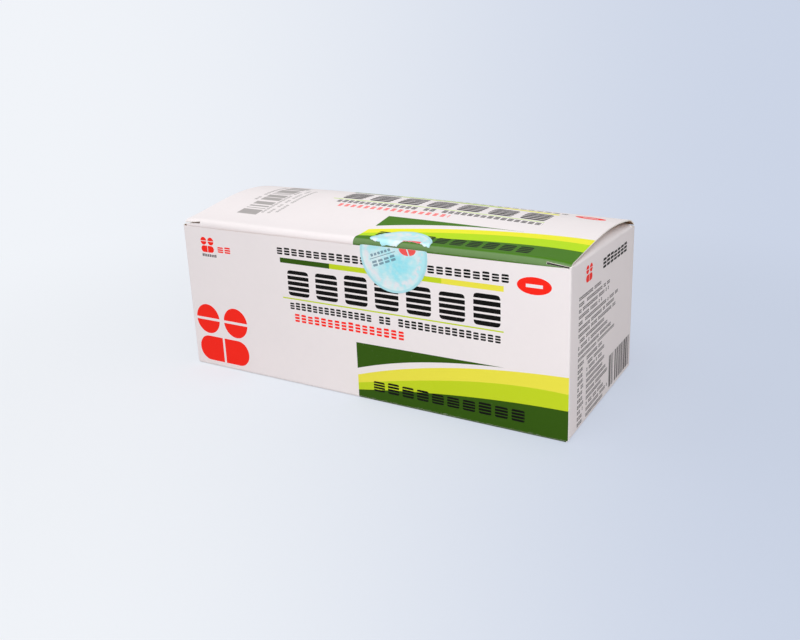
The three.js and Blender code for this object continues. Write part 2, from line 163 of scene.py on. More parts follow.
# %% A finish and its nodes
class Paint:
    def __init__(self, name, library="materials"):
        self.made = getattr(bpy.data, library).new(name)
        self.made.use_nodes = True
        self.tree = self.made.node_tree
        self.tree.nodes.clear()

    def node(self, kind, settings=None, inputs=None, output=0):
        made = self.tree.nodes.new(kind)
        for key, value in (settings or {}).items():
            setattr(made, key, value)
        for key, value in (inputs or {}).items():
            if isinstance(value, Value):
                self.tree.links.new(value.socket, made.inputs[key])
            else:
                made.inputs[key].default_value = value
        return Value(self, made.outputs[output]) if made.outputs else None

    def math(self, operation, *values):
        return self.node("ShaderNodeMath", {"operation": operation}, dict(enumerate(values)))

    def vector_math(self, operation, *values, output=0):
        return self.node("ShaderNodeVectorMath", {"operation": operation}, dict(enumerate(values)), output)

    def floor(self, value):
        return self.math("FLOOR", value)

    def fract(self, value):
        return self.math("FRACT", value)

    def size(self, value):
        return self.math("ABSOLUTE", value)

    def clamp(self, value):
        return self.node("ShaderNodeClamp", {}, {0: value})

    def soft(self, value, low, high):
        inputs = {"Value": value, "From Min": low, "From Max": high}
        return self.node("ShaderNodeMapRange", {"interpolation_type": "SMOOTHSTEP"}, inputs)

    def flat_place(self, name):
        """Where a point lies on the flat blank: along and up, from an attribute of the mesh."""
        vector = self.node("ShaderNodeAttribute", {"attribute_name": name}, output="Vector")
        split = self.node("ShaderNodeSeparateXYZ", {}, {0: vector}).socket.node
        return Value(self, split.outputs[0]), Value(self, split.outputs[1])

    def place(self):
        return self.node("ShaderNodeTexCoord", output="Object")

    def pair(self, x, y):
        return self.node("ShaderNodeCombineXYZ", {}, {0: x, 1: y})

    def noise(self, vector, scale, detail=3.0, rough=0.5):
        inputs = {"Vector": vector, "Scale": scale, "Detail": detail, "Roughness": rough}
        return self.node("ShaderNodeTexNoise", {}, inputs)

    def chance(self, x, y):
        """An even random number for each pair of whole numbers."""
        settings = {"noise_dimensions": "2D"}
        return self.node("ShaderNodeTexWhiteNoise", settings, {"Vector": self.pair(x, y)})

    def mix(self, below, above, share):
        settings = {"data_type": "RGBA"}
        return self.node("ShaderNodeMix", settings, {0: share, 6: below, 7: above}, output=2)

    def bump(self, height, distance, strength=1.0):
        return self.node("ShaderNodeBump", {}, {"Height": height, "Distance": distance, "Strength": strength})

    def surface(self, colour, roughness, normal, **fixed):
        inputs = {"Base Color": colour, "Roughness": roughness, "Normal": normal}
        inputs.update({key.replace("_", " "): value for key, value in fixed.items()})
        return self.finish(self.node("ShaderNodeBsdfPrincipled", {}, inputs))

    def finish(self, shader, kind="ShaderNodeOutputMaterial"):
        self.node(kind, {}, {0: shader})
        print(self.made.name, len(self.tree.nodes), "nodes")
        return self.made


def linear(channel):
    share = channel / 255
    return share / 12.92 if share <= 0.04045 else ((share + 0.055) / 1.055) ** 2.4


def srgb(red, green, blue):
    """A colour as a screen shows it, in the linear values that a shader takes."""
    return (linear(red), linear(green), linear(blue), 1.0)


print("middle grey", [round(value, 3) for value in srgb(128, 128, 128)])

# %% [markdown]
# ## Folded sheets
# Board, film and paper are all thin sheets, so one helper makes them all: a grid of middle points,
# thickened along its own normals, with cells left out where the sheet is cut. The printed face, the
# back and the cut edges get three materials. Each corner also keeps its place on the flat blank, which
# is where a printer would lay out the artwork, so the print follows every fold.

# %% A sheet from a grid of points
def grid(*axes):
    return np.meshgrid(*axes, indexing="ij")


def cell_normals(middle, kept):
    diagonal = np.cross(middle[1:, 1:] - middle[:-1, :-1], middle[:-1, 1:] - middle[1:, :-1])
    diagonal *= kept[..., None]
    normals = np.zeros_like(middle)
    for columns, rows in ((slice(0, -1), slice(0, -1)), (slice(1, None), slice(0, -1)),
                          (slice(1, None), slice(1, None)), (slice(0, -1), slice(1, None))):
        normals[columns, rows] += diagonal
    size = np.linalg.norm(normals, axis=2, keepdims=True)
    return normals / np.where(size > 1e-12, size, 1)


def folded_sheet(middle, thickness, blank, kept=None):
    """Vertices, faces, face kinds (0 outside, 1 back, 2 cut edge) and blank coordinates, in millimetres."""
    columns, rows = middle.shape[0] - 1, middle.shape[1] - 1
    kept = np.ones((columns, rows), bool) if kept is None else kept
    normals = cell_normals(middle, kept)
    outer = middle + normals * thickness / 2
    inner = middle - normals * thickness / 2
    points = np.concatenate([outer.reshape(-1, 3), inner.reshape(-1, 3)])
    count = (columns + 1) * (rows + 1)
    number = np.arange(count).reshape(columns + 1, rows + 1)
    padded = np.zeros((columns + 2, rows + 2), bool)
    padded[1:-1, 1:-1] = kept
    faces, kinds = [], []
    for i, j in zip(*np.nonzero(kept)):
        corners = [number[i, j], number[i + 1, j], number[i + 1, j + 1], number[i, j + 1]]
        faces.append(corners)
        faces.append([count + c for c in reversed(corners)])
        kinds += [0, 1]
        beside = [padded[i + 1, j], padded[i + 2, j + 1], padded[i + 1, j + 2], padded[i, j + 1]]
        for side, joined in enumerate(beside):
            if not joined:
                a, b = corners[side], corners[(side + 1) % 4]
                faces.append([count + a, count + b, b, a])
                kinds.append(2)
    return points, faces, kinds, np.concatenate([blank.reshape(-1, 2)] * 2)


trial = np.stack([*grid(np.arange(3.0), np.arange(3.0)), np.zeros((3, 3))], axis=2)
print("a trial sheet of 4 cells has", len(folded_sheet(trial, BOARD, trial[..., :2])[1]), "faces")

# %% [markdown]
# Several sheets, or a sheet and a turned part, join to one object. Points that no face uses go, and a
# fold sharper than the given angle keeps a crisp edge under smooth shading.

# %% From sheets to one piece
def piece_mesh(name, sheets, attribute):
    mesh = bpy.data.meshes.new(name)
    points, faces, kinds, blanks, start = [], [], [], [], 0
    for sheet in sheets:
        points.append(sheet[0])
        faces += [[int(c) + start for c in face] for face in sheet[1]]
        kinds += list(sheet[2])
        blanks.append(sheet[3])
        start += len(sheet[0])
    mesh.from_pydata((np.concatenate(points) / 1000).tolist(), [], faces)
    layer = mesh.attributes.new(attribute, "FLOAT_VECTOR", "POINT")
    flat = np.zeros((start, 3))
    flat[:, :2] = np.concatenate(blanks)
    layer.data.foreach_set("vector", flat.ravel())
    return mesh, kinds


def make_piece(name, sheets, materials, attribute="blank", sharp=38):
    mesh, kinds = piece_mesh(name, sheets, attribute)
    for material in materials:
        mesh.materials.append(material)
    mesh.polygons.foreach_set("material_index", kinds)
    solid = bmesh.new()
    solid.from_mesh(mesh)
    loose = [v for v in solid.verts if not v.link_faces]
    bmesh.ops.delete(solid, geom=loose, context="VERTS")
    bmesh.ops.dissolve_degenerate(solid, dist=1e-7, edges=solid.edges)
    solid.to_mesh(mesh)
    solid.free()
    mesh.shade_smooth()
    mesh.set_sharp_from_angle(angle=math.radians(sharp))
    piece = bpy.data.objects.new(name, mesh)
    bpy.context.scene.collection.objects.link(piece)
    print(name, len(mesh.polygons), "faces")
    return piece


def finish_piece(piece, body, slot, *nodes):
    """Tie a piece to the body that it moves with, and hide the CAD nodes that it stands for. slot is not
    used.
    """
    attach(piece, body)
    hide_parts(*nodes)
    return piece


def quarter(steps=6):
    """The angles of a quarter turn, for anything that is rounded."""
    return np.linspace(0, math.pi / 2, steps + 1)


print("a quarter turn stops at", [round(math.degrees(a)) for a in quarter()], "degrees")

# %% [markdown]
# ## Print
# The real print says what is in the box. Here it is greeked: each line of words is a row of plain blocks
# with gaps in them, at the same place, size, weight and colour, and it reads as nothing. A block is made
# of level lines, so it has the grey weight of type and no shape of a letter.

# %% Plain blocks in place of words
def within(value, low, high):
    return (value > low) & (value < high)


def plain_block(paint, across, up, number, seed, gap, lines=4):
    """One rounded block of level lines, a little shorter or taller than the next one."""
    tall = 0.86 + 0.14 * paint.chance(number, seed + 3.0)
    aside = paint.size(across - 0.5)
    corner = (aside * 2 / (1 - gap)) ** 8.0 + paint.size(up / tall * 2 - 1) ** 8.0
    hatched = paint.fract(up / tall * (lines - 0.3) + 0.01) < 0.7
    return (corner < 1.0) & hatched


def word_block(paint, u, v, box, glyph, seed, gap=0.14, spaces=0.0, lines=3):
    """A line of words in box (left, right, bottom, top), with some blocks left out as spaces."""
    left, right, bottom, top = box
    along, up = (u - left) / glyph, (v - bottom) / (top - bottom)
    shown = within(u, left, right) & within(v, bottom, top)
    number = paint.floor(along)
    if spaces:
        shown = shown & (paint.chance(number, seed) > spaces)
    return shown & plain_block(paint, paint.fract(along), up, number, seed, gap, lines)


def text_rows(paint, u, v, box, row_pitch, row_height, glyph, seed, ragged=0.5):
    """Rows of small print that end unevenly on the right."""
    left, right, bottom, top = box
    row = (top - v) / row_pitch
    line, part = paint.floor(row), paint.fract(row)
    shown = within(v, bottom, top) & (part < row_height)
    end = right - (right - left) * ragged * paint.chance(line, seed)
    along = (u - left) / glyph
    number = paint.floor(along)
    shown = shown & (u > left) & (u < end) & (paint.chance(number, line + seed) > 0.1)
    up = part / row_height
    return shown & plain_block(paint, paint.fract(along), up, number + line * 11.0, seed, 0.2, 2)


print("a row of small print is", round(2.06 * 0.6, 2), "mm tall")

# %% [markdown]
# The green fields are plain curved shapes, so they follow the photograph: a polynomial goes through points
# measured on each edge. The marks are generic ones, tablets, a capsule, an oval and plain bars.

# %% Curved fields, marks and bars
def curve_through(u, points, degree=3):
    x, y = zip(*points)
    terms = np.polyfit(x, y, degree)
    height = float(terms[0])
    for term in terms[1:]:
        height = u * height + float(term)
    return height


def oval(u, v, x, z, wide, high):
    du, dv = (u - x) / wide, (v - z) / high
    return (du * du + dv * dv) < 1.0


def dashed_oval(u, v, x, z, wide, high):
    """An oval plate with a level dash left white in it."""
    dash = within(v, z - 0.6, z + 0.5) * within(u, x - 2.8, x + 2.9)
    return oval(u, v, x, z, wide, high) & (1 - dash)


def tablets_and_capsule(paint, u, v, x, z, size):
    """Two scored round tablets above a capsule."""
    aside = paint.size(u - x)
    tablet = oval(aside, v, 0.28 * size, z + 0.22 * size, 0.235 * size, 0.235 * size)
    score = within(v, z + 0.2 * size, z + 0.24 * size)
    body = (aside < 0.3 * size) & within(v, z - 0.46 * size, z - 0.06 * size)
    ends = oval(aside, v, 0.3 * size, z - 0.26 * size, 0.2 * size, 0.2 * size)
    return (tablet & (1 - score)) | ((body | ends) & (aside > 0.02 * size))


def bar_code(paint, along, shown, seed, pitch=0.36, share=0.55):
    """Plain upright bars of uneven width. It codes nothing."""
    return shown & (paint.chance(paint.floor(along / pitch), seed) < share)


BLACK, GREY, RED = srgb(12, 12, 12), srgb(92, 86, 88), srgb(254, 40, 26)
GREEN, LIME, YELLOW = srgb(52, 88, 14), srgb(196, 216, 36), srgb(238, 229, 74)
LID_GREEN, LID_LIME, LID_YELLOW = srgb(72, 122, 26), srgb(184, 224, 18), srgb(240, 238, 48)
WHITE_BOARD = srgb(244, 237, 238)
print("bare board", [round(value, 3) for value in WHITE_BOARD[:3]])

# %% [markdown]
# ## Board finish
# Carton board is white clay-coated on its face and greyish brown on its back. The coating is smooth but
# shows a faint mottle and the fibres under it. Ink is slightly glossier than bare coating and cracks a
# little along a crease, where white shows through.

# %% Coated and printed face
def board_face(paint, inks, wear_and_painted_highlight):
    place = paint.place()
    mottle = paint.noise(place, 420.0, 4.0, 0.6)
    fibre = paint.noise(place, 2600.0, 2.0, 0.5)
    cloud = paint.noise(place, 38.0, 2.0, 0.5)
    colour = paint.mix(WHITE_BOARD, srgb(236, 229, 230), paint.clamp(cloud * 0.7 + mottle * 0.3 - 0.1))
    inked = 0.0
    for ink, mask in inks:
        colour = paint.mix(colour, ink, mask)
        inked = mask | inked
    # Crease wear turns ink toward white here. On the lid this also carries a painted highlight along the
    # crease.
    colour = paint.mix(colour, WHITE_BOARD, wear_and_painted_highlight * inked)
    speck = paint.soft(fibre, 0.66, 0.8) * 0.1
    colour = paint.mix(colour, srgb(255, 253, 250), speck)
    roughness = 0.5 - 0.1 * inked + 0.08 * mottle + 0.12 * wear_and_painted_highlight
    height = mottle * 0.6 + fibre * 0.25 + cloud * 1.4
    return paint.surface(colour, roughness, paint.bump(height, 0.00005, 0.7), Specular_IOR_Level=0.1)


def crease_wear(paint, u, v, lines):
    """Where a fold has cracked the coating: thin, broken lines along it."""
    broken = paint.noise(paint.pair(u * 0.35, v * 1.6), 1.0, 5.0, 0.65)
    wear = 0.0
    for at, half in lines:
        near = 1 - paint.soft(paint.size(v - at), 0.0, half)
        wear = (near * paint.soft(broken, 0.58, 0.74)) | wear
    return paint.clamp(wear)


print("the coating's mottle repeats about every", round(1000 / 420, 1), "mm")

# %% [markdown]
# The carton's print is laid out on the flat blank, u along it and v up from the floor. The two long panels
# are alike and so are the two ends, so u wraps round after one long panel and one end. The curved fields
# and the words of each panel are worked out on their own and then inked one over another.

# %% Fields and words of the long panels
def long_panel_fields(u, v):
    """Below the yellow, lime and green edges, and the dark wedge above them."""
    yellow = curve_through(u, [(0.2, 9.0), (13.6, 13.0), (29.4, 16.6), (42.1, 18.8), (59.4, 21.0),
                               (69.7, 21.8), (81, 22.4)])
    lime = curve_through(u, [(0.3, 5.9), (13.4, 8.7), (29.3, 12.0), (42, 14.2), (54.1, 15.7),
                             (67.2, 16.6), (81, 16.7)])
    green = curve_through(u, [(0.6, 3.2), (13.2, 5.2), (29.1, 7.3), (41.9, 8.7), (54, 9.8), (81, 11)])
    low = curve_through(u, [(0, 11.5), (13.8, 15.5), (26, 18.1), (37.6, 19.9), (48.8, 21.2),
                            (59.4, 21.95)])
    wedge = within(u, 0.0, 59.4) & (v > low) & (v < u * 0.008 + 21.45)
    return v < yellow, v < lime, v < green, wedge


def long_panel_words(paint, u, v):
    """The red, the black and the small grey print of a long panel."""
    red = tablets_and_capsule(paint, u, v, -65.4, 14.2, 26.0)
    red = red | tablets_and_capsule(paint, u, v, -68.9, 50.8, 6.6)
    red = red | word_block(paint, u, v, (-64.0, -56.8, 48.2, 50.8), 3.6, 3, 0.2)
    red = red | word_block(paint, u, v, (-31.0, 21.0, 25.2, 28.6), 3.05, 5, 0.3, 0.08)
    red = red | dashed_oval(u, v, 69.0, 50.8, 5.85, 2.85)
    black = word_block(paint, u, v, (-34.1, 60.8, 50.7, 53.6), 3.39, 9, 0.26)
    black = black | word_block(paint, u, v, (-31.2, 59.0, 35.3, 46.4), 12.886, 11, 0.24, 0.0, 5)
    black = black | word_block(paint, u, v, (-29.7, 57.9, 30.0, 32.9), 2.65, 14, 0.26, 0.08)
    black = black | word_block(paint, u, v, (6.1, 66.6, 3.9, 8.1), 6.05, 17, 0.22, 0.0, 4)
    small = word_block(paint, u, v, (-72.1, -64.5, 46.0, 47.2), 0.95, 19, 0.3, 0.0, 1)
    return red, black, small


def end_panel_words(paint, y, v):
    """The red mark, the black heading, and the small print with its bars, of an end panel."""
    red = tablets_and_capsule(paint, y, v, -17.8, 52.2, 6.2)
    heading = word_block(paint, y, v, (-3.6, 25.2, 49.9, 53.8), 4.1, 23, 0.16)
    columns = text_rows(paint, y, v, (-27.2, 18.5, 24.6, 46.2), 2.06, 0.6, 1.25, 31, 0.55)
    lower = text_rows(paint, y, v, (-18.5, 6.0, 1.6, 23.6), 2.06, 0.62, 1.25, 37, 0.35)
    heads = text_rows(paint, y, v, (-27.2, -21.0, 1.6, 23.6), 2.06, 0.62, 1.6, 41, 0.2)
    stripes = bar_code(paint, y, within(y, 6.8, 33.2) & within(v, 2.2, 14.6), 43)
    return red, heading, columns | lower | heads | stripes


print("one long panel and one end take", LENGTH + DEPTH, "mm of the blank")

# %% [markdown]
# The inks go on from the palest to the darkest, each through the mask of its own fields and words. Masks
# combine with & and |, and 1 - mask turns one round, so the list below reads like a printer's order.

# %% Print of the carton
def carton_face():
    paint = Paint("carton_print")
    around, v = paint.flat_place("blank")
    turn = LENGTH + DEPTH
    u = paint.math("FLOORED_MODULO", around + LENGTH / 2, turn) - LENGTH / 2
    on_front = u < LENGTH / 2
    on_end = (1 - on_front) & (v < 57.0)
    right_half = (u > 0.0) & on_front & (v > -2.0)
    yellow, lime, green, wedge = long_panel_fields(u, v)
    bar = within(v, 47.6, 49.5)
    rule = within(v, 33.85, 34.35) & within(u, -32.6, 58.5)
    red, black, small = long_panel_words(paint, u, v)
    end_red, end_heading, end_small = end_panel_words(paint, u - LENGTH / 2 - DEPTH / 2, v)
    inks = [
        (YELLOW, right_half & yellow),
        (LIME, right_half & lime),
        (GREEN, (right_half & green) | (on_front & wedge) | (bar & within(u, -32.6, -10.0))),
        (LIME, (bar & within(u, -10.0, 35.9)) | rule),
        (YELLOW, bar & within(u, 35.9, 58.6)),
        (RED, (on_front & red) | (on_end & end_red)),
        (GREY, on_front & small),
        (srgb(62, 58, 60), on_end & end_small),
        (BLACK, (on_front & black) | (on_end & end_heading)),
    ]
    wear_and_painted_highlight = crease_wear(paint, around, v, [(0.35, 1.0), (57.6, 0.8)])
    return board_face(paint, inks, wear_and_painted_highlight)


carton_print = carton_face()

# %% [markdown]
# The lid repeats the long panel's print in a slightly different layout, with a bar code and small print at
# its left end. Its u runs along the lid, and its v back from the start of the front crease. The crease has
# lost a little of its ink, and a pale band along its crest is a painted highlight mixed toward white.

# %% Print of the lid
def lid_fields(u, v):
    yellow = curve_through(u, [(1, 7), (19.7, 11.7), (33.8, 14.8), (59, 18.6), (80, 21.0)], 2)
    lime = curve_through(u, [(2.2, 3.8), (27.7, 9.9), (44, 12.8), (60.1, 14.9), (79.7, 15.8)], 2)
    green = curve_through(u, [(1.9, 1.1), (44.6, 7.2), (62.9, 8.6), (80.2, 9.2)], 2)
    low = curve_through(u, [(1.5, 10.1), (18.2, 14.6), (32, 17.3), (56, 19.1)], 2)
    wedge = within(u, 1.8, 56.0) & (v > low) & (v < 19.2)
    return v < yellow, v < lime, v < green, wedge


def lid_words(paint, u, v):
    black = word_block(paint, u, v, (6.0, 66.0, 1.2, 6.8), 6.0, 17, 0.22, 0.0, 4)
    black = black | word_block(paint, u, v, (-31.0, 59.6, 32.6, 43.2), 12.94, 11, 0.24, 0.0, 5)
    black = black | word_block(paint, u, v, (-29.0, 58.9, 27.6, 30.4), 2.65, 14, 0.26, 0.08)
    black = black | word_block(paint, u, v, (-34.0, 60.8, 49.0, 51.4), 3.39, 9, 0.26)
    red = word_block(paint, u, v, (-29.0, 24.0, 23.7, 26.3), 3.05, 5, 0.42, 0.08)
    red = red | dashed_oval(u, v, 69.5, 48.8, 5.8, 2.85)
    code = bar_code(paint, v, within(u, -63.4, -53.6) & within(v, 8.6, 45.0), 49, 0.55, 0.72)
    columns = text_rows(paint, v, -1 * u, (11.0, 44.0, 44.2, 53.0), 3.0, 0.45, 1.5, 53, 0.2)
    words = word_block(paint, v, -1 * u, (20.0, 42.0, 65.0, 66.6), 1.9, 57, 0.2, 0.15, 2)
    return red, black, code | columns | words


def lid_face():
    paint = Paint("lid_print")
    u, v = paint.flat_place("blank")
    printed = (u > 0.6 + v * 0.06) & (v > -9.0)
    yellow, lime, green, wedge = lid_fields(u, v)
    bar = within(v, 44.6, 46.9)
    rule = within(v, 31.0, 31.5) & within(u, -32.6, 58.5)
    red, black, small = lid_words(paint, u, v)
    inks = [
        (LID_YELLOW, printed & yellow),
        (LID_LIME, printed & lime),
        (LID_GREEN, (printed & green) | wedge | (bar & within(u, -32.6, -10.0))),
        (LID_LIME, (bar & within(u, -10.0, 35.9)) | rule),
        (LID_YELLOW, bar & within(u, 35.9, 58.6)),
        (RED, red),
        (srgb(174, 169, 168), small),
        (BLACK, black),
    ]
    wear_and_painted_highlight = 0.16 * crease_wear(paint, u, v, [(-0.9, 0.7), (-3.0, 0.6), (66.5, 0.8)])
    # haze is a painted highlight: a pale band along the crest of the crease, mixed toward white with the
    # wear.
    haze = 0.1 * (1 - paint.soft(paint.size(v + 2.0), 0.7, 1.3))
    return board_face(paint, inks, paint.clamp(wear_and_painted_highlight + haze))


lid_print = lid_face()

# %% [markdown]
# The back of the board is unbleached: short brown and pale fibres lie in it every way. The cut edge shows
# the pulp between the two faces, pale and slightly furry.

# %% Back of the board and its cut edge
def board_back():
    paint = Paint("board_back")
    place = paint.place()
    long_fibre = paint.node("ShaderNodeMapping", {}, {"Vector": place, "Scale": (1.0, 4.0, 2.2)})
    fibre = paint.noise(long_fibre, 900.0, 5.0, 0.7)
    cloud = paint.noise(place, 60.0, 3.0, 0.5)
    colour = paint.mix(srgb(190, 150, 116), srgb(198, 160, 126), paint.soft(cloud, 0.3, 0.7))
    colour = paint.mix(colour, srgb(136, 102, 74), paint.soft(fibre, 0.56, 0.74) * 0.5)
    colour = paint.mix(colour, srgb(222, 200, 174), paint.soft(fibre, 0.42, 0.3) * 0.5)
    return paint.surface(colour, 0.82 + 0.08 * fibre, paint.bump(fibre + cloud * 0.5, 0.00008, 0.8))


def board_cut():
    paint = Paint("board_cut_edge")
    place = paint.place()
    pulp = paint.noise(place, 5200.0, 3.0, 0.6)
    layer = paint.noise(place, 700.0, 3.0, 0.6)
    aged = paint.soft(layer * 0.6 + pulp * 0.4, 0.4, 0.7)
    colour = paint.mix(srgb(253, 250, 246), srgb(242, 233, 220), aged)
    return paint.surface(colour, 0.85 + 0.1 * pulp, paint.bump(pulp, 0.00006, 0.8))


board_inside, board_edge = board_back(), board_cut()

# %% [markdown]
# ## Carton
# The carton is one sheet, folded round four upright creases. Its ends meet at the back left corner, where
# the left end panel is glued over the flap that carries on from the back panel. The sheet is walked
# along in plan, so that one run of numbers gives both its bends and its place on the flat blank.

# %% The way round the four folds
FOLD_OUTSIDE = 0.7
FOLD = FOLD_OUTSIDE - BOARD / 2
DUST_LENGTH, DUST_FOLD, DUST_TOP = 35, 0.52, HEIGHT - BOARD / 2
ROOT_Z = DUST_TOP - DUST_FOLD - 0.75
DUST_FRONT, DUST_BACK = INNER_FRONT + 2.05, INNER_BACK - 3.5


def wrap_path():
    """Plan points of the panels from the glued corner."""
    half, deep = WALL_MIDDLE, HINGE_Y
    end_stops = np.concatenate([np.linspace(-deep + FOLD, deep - FOLD, 25), [DUST_FRONT, DUST_BACK]])
    end_stops = np.unique(end_stops)
    long_stops = np.linspace(-half + FOLD, half - FOLD, 73)
    points = [(-half, deep - 0.02)] + [(-half, y) for y in end_stops[::-1]]
    front = [(x, -deep) for x in long_stops]
    right = [(half, y) for y in end_stops]
    back = [(x, deep) for x in long_stops[::-1]]
    turns = [(-half, -deep, math.pi, front), (half, -deep, 1.5 * math.pi, right), (half, deep, 0.0, back)]
    for x, y, start, run in turns:
        cx, cy = x - math.copysign(FOLD, x), y - math.copysign(FOLD, y)
        bend = [(cx + FOLD * math.cos(start + a), cy + FOLD * math.sin(start + a)) for a in quarter()]
        points += bend[1:-1] + run
    return np.array(points)


def blank_place(plan):
    """Distance round the carton from the front panel's middle, with sharp corners, as the artwork has."""
    x, y = plan[:, 0], plan[:, 1]
    front = (y < -HINGE_Y + FOLD * 0.3) & (np.abs(x) < WALL_MIDDLE + 1)
    back = (y > HINGE_Y - FOLD * 0.3) & (x > -WALL_MIDDLE + 1e-6)
    right = (x > WALL_MIDDLE - FOLD * 0.3) & ~front & ~back
    u = np.where(right, LENGTH / 2 + y + DEPTH / 2, -LENGTH / 2 - y - DEPTH / 2)
    u = np.where(front, x, u)
    return np.where(back, LENGTH + DEPTH - x, u)


print("stops round the carton", len(wrap_path()))

# %% [markdown]
# The panels are drawn up from that plan. Flat board is never quite flat: each panel is drawn in by a tenth
# of a millimetre at its middle. The front panel's top edge dips a little and leans in under the lid. Cells
# are left out where the dust flaps fold away and where the back gives room to the lid's fold.

# %% Panels
END_FOOT = FOLD_OUTSIDE + BOARD
BACK_TOP = DUST_TOP - 0.36
FRONT_TRIM, FRONT_TRIM_BOW, FRONT_LEAN = 0.7, 0.3, 0.15
PANEL_HOLLOW = 0.09
NEAR = 0.01


def kept_cells(plan, z):
    cx, cz = grid((plan[1:, 0] + plan[:-1, 0]) / 2, (z[1:] + z[:-1]) / 2)
    cy, _ = grid((plan[1:, 1] + plan[:-1, 1]) / 2, z[1:])
    is_end = np.abs(cx) > WALL_MIDDLE - NEAR
    kept = ~(is_end & (cz < END_FOOT))
    kept &= ~(is_end & (cy > DUST_FRONT) & (cy < DUST_BACK) & (cz > ROOT_Z))
    return kept & ~((cy > INNER_BACK - 2) & (cz > BACK_TOP))


def panel_sheet():
    plan = wrap_path()
    z = np.concatenate([[FOLD_OUTSIDE, END_FOOT], np.linspace(3, 54, 22), [ROOT_Z, BACK_TOP, HEIGHT]])
    uu, zz = grid(blank_place(plan), z)
    x, _ = grid(plan[:, 0], z)
    y, _ = grid(plan[:, 1], z)
    on_top, on_front = zz > HEIGHT - NEAR, y < -HINGE_Y + NEAR
    along = np.cos(x / WALL_MIDDLE * math.pi / 2).clip(0)
    across = np.cos(y / HINGE_Y * math.pi / 2).clip(0)
    trim = (FRONT_TRIM + FRONT_TRIM_BOW * along) * on_front
    hollow = np.sin(math.pi * np.clip(zz / HEIGHT, 0, 1)) * PANEL_HOLLOW
    bent_y = y + FRONT_LEAN * (on_front & on_top)
    bent_y = bent_y - np.sign(y) * hollow * along * (np.abs(y) > HINGE_Y - NEAR)
    bent_x = x - np.sign(x) * hollow * across * (np.abs(x) > WALL_MIDDLE - NEAR)
    middle = np.stack([bent_x, bent_y, np.where(on_top, zz - trim, zz)], axis=2)
    return folded_sheet(middle, BOARD, np.stack([uu, zz], axis=2), kept_cells(plan, z))


carton_sheets = [panel_sheet()]
print("panels", len(carton_sheets[0][1]), "faces")

# %% [markdown]
# Each dust flap turns in from the top of an end panel and keeps the bottles in when the lid is open. It
# springs up in the middle and its corners are rounded, so that it slides under the lid.

# %% Dust flaps
def dust_flap(end):
    bends = quarter()
    turn_in = DUST_FOLD * (1 - np.cos(bends))
    turn_up = DUST_TOP - DUST_FOLD + DUST_FOLD * np.sin(bends)
    flat = np.linspace(0, 1, 31)[1:] ** 1.3 * DUST_LENGTH
    across = np.linspace(0, 1, 31) if end > 0 else np.linspace(1, 0, 31)
    share, inn = grid(across, np.concatenate([[0], turn_in, flat]))
    _, zz = grid(across, np.concatenate([[ROOT_Z], turn_up, np.full(len(flat), DUST_TOP)]))
    corner = np.clip((inn - 29) / 6, 0, 1)
    taper = 3 * (inn / DUST_LENGTH) ** 2 + 5 * (1 - np.sqrt(np.clip(1 - corner ** 2, 0, 1)))
    ramp = 1 - (1 - np.minimum(inn / 7, 1)) ** 3
    sag = 1 - 0.35 * np.clip((inn - 7) / 20, 0, 1)
    rise = (0.3 + 0.9 * share + 2.1 * np.sin(math.pi * share)) * ramp * sag
    y = (DUST_FRONT + taper) * (1 - share) + (DUST_BACK - taper) * share
    middle = np.stack([end * (WALL_MIDDLE - inn), y, zz + rise], axis=2)
    side = y if end > 0 else -y
    blank = np.stack([LENGTH / 2 + DEPTH / 2 + side, HEIGHT + inn], axis=2)
    return folded_sheet(middle, BOARD, blank)


carton_sheets += [dust_flap(-1), dust_flap(1)]
print("dust flaps", round(DUST_BACK - DUST_FRONT, 1), "mm wide at the fold")

# %% [markdown]
# Four flaps close the bottom. The outer two come from the long panels and meet at a seam behind the
# middle. The inner two come from the ends and reach the middle above them, and the bottles stand on them.

# %% Bottom flaps
SEAM_BEHIND, SEAM_GAP = 4, 0.2


def outer_bottom_flap(side):
    """From the front (side -1) or the back (side 1) panel to the seam, and narrower near the seam."""
    seam = SEAM_BEHIND + side * SEAM_GAP
    bends = quarter(5)
    reach = abs(side * HINGE_Y - seam)
    run = FOLD + (reach - FOLD) * np.linspace(0, 1, 21)[1:]
    depth_in = np.concatenate([FOLD * (1 - np.cos(bends)), run])
    z = np.concatenate([FOLD_OUTSIDE - FOLD * np.sin(bends), np.full(20, BOARD / 2)])
    y = side * (HINGE_Y - depth_in)
    wide = np.interp(np.abs(y - SEAM_BEHIND), [SEAM_GAP, 18, 99], [52, 80.3, 80.3])
    across = np.linspace(-1, 1, 41)
    share, yy = grid(across * -side, y)
    _, zz = grid(across, z)
    _, ww = grid(across, wide)
    _, down = grid(across, -depth_in)
    middle = np.stack([share * ww, yy, zz], axis=2)
    blank = np.stack([share * ww, down], axis=2)
    return folded_sheet(middle[:, ::-1], BOARD, blank[:, ::-1])


def inner_bottom_flap(end):
    bends = quarter(5)
    inward = np.concatenate([FOLD * (1 - np.cos(bends)), np.linspace(FOLD, WALL_MIDDLE - 0.2, 16)[1:]])
    z = np.concatenate([END_FOOT - FOLD * np.sin(bends), np.full(15, 1.5 * BOARD)])
    across = np.linspace(-1, 1, 9)
    y, inn = grid(across * 34.1 * end, inward)
    _, zz = grid(across, z)
    middle = np.stack([end * (WALL_MIDDLE - inn), y, zz], axis=2)
    blank = np.stack([LENGTH / 2 + DEPTH / 2 + y * end, -inn], axis=2)
    return folded_sheet(middle[:, ::-1], BOARD, blank[:, ::-1])


bottom_sheets = [outer_bottom_flap(-1), outer_bottom_flap(1), inner_bottom_flap(-1), inner_bottom_flap(1)]
print("bottom flaps", sum(len(sheet[1]) for sheet in bottom_sheets), "faces")

# %% [markdown]
# The glue flap carries on from the back panel and lies inside the left end. It has no print, so its place
# on the blank is set far away from the artwork. With it the carton is whole.

# %% Glue flap, and the carton as one piece
GLUE_WIDTH, GLUE_GAP, BARE_PLACE = 14, 0.02, (500, -50)


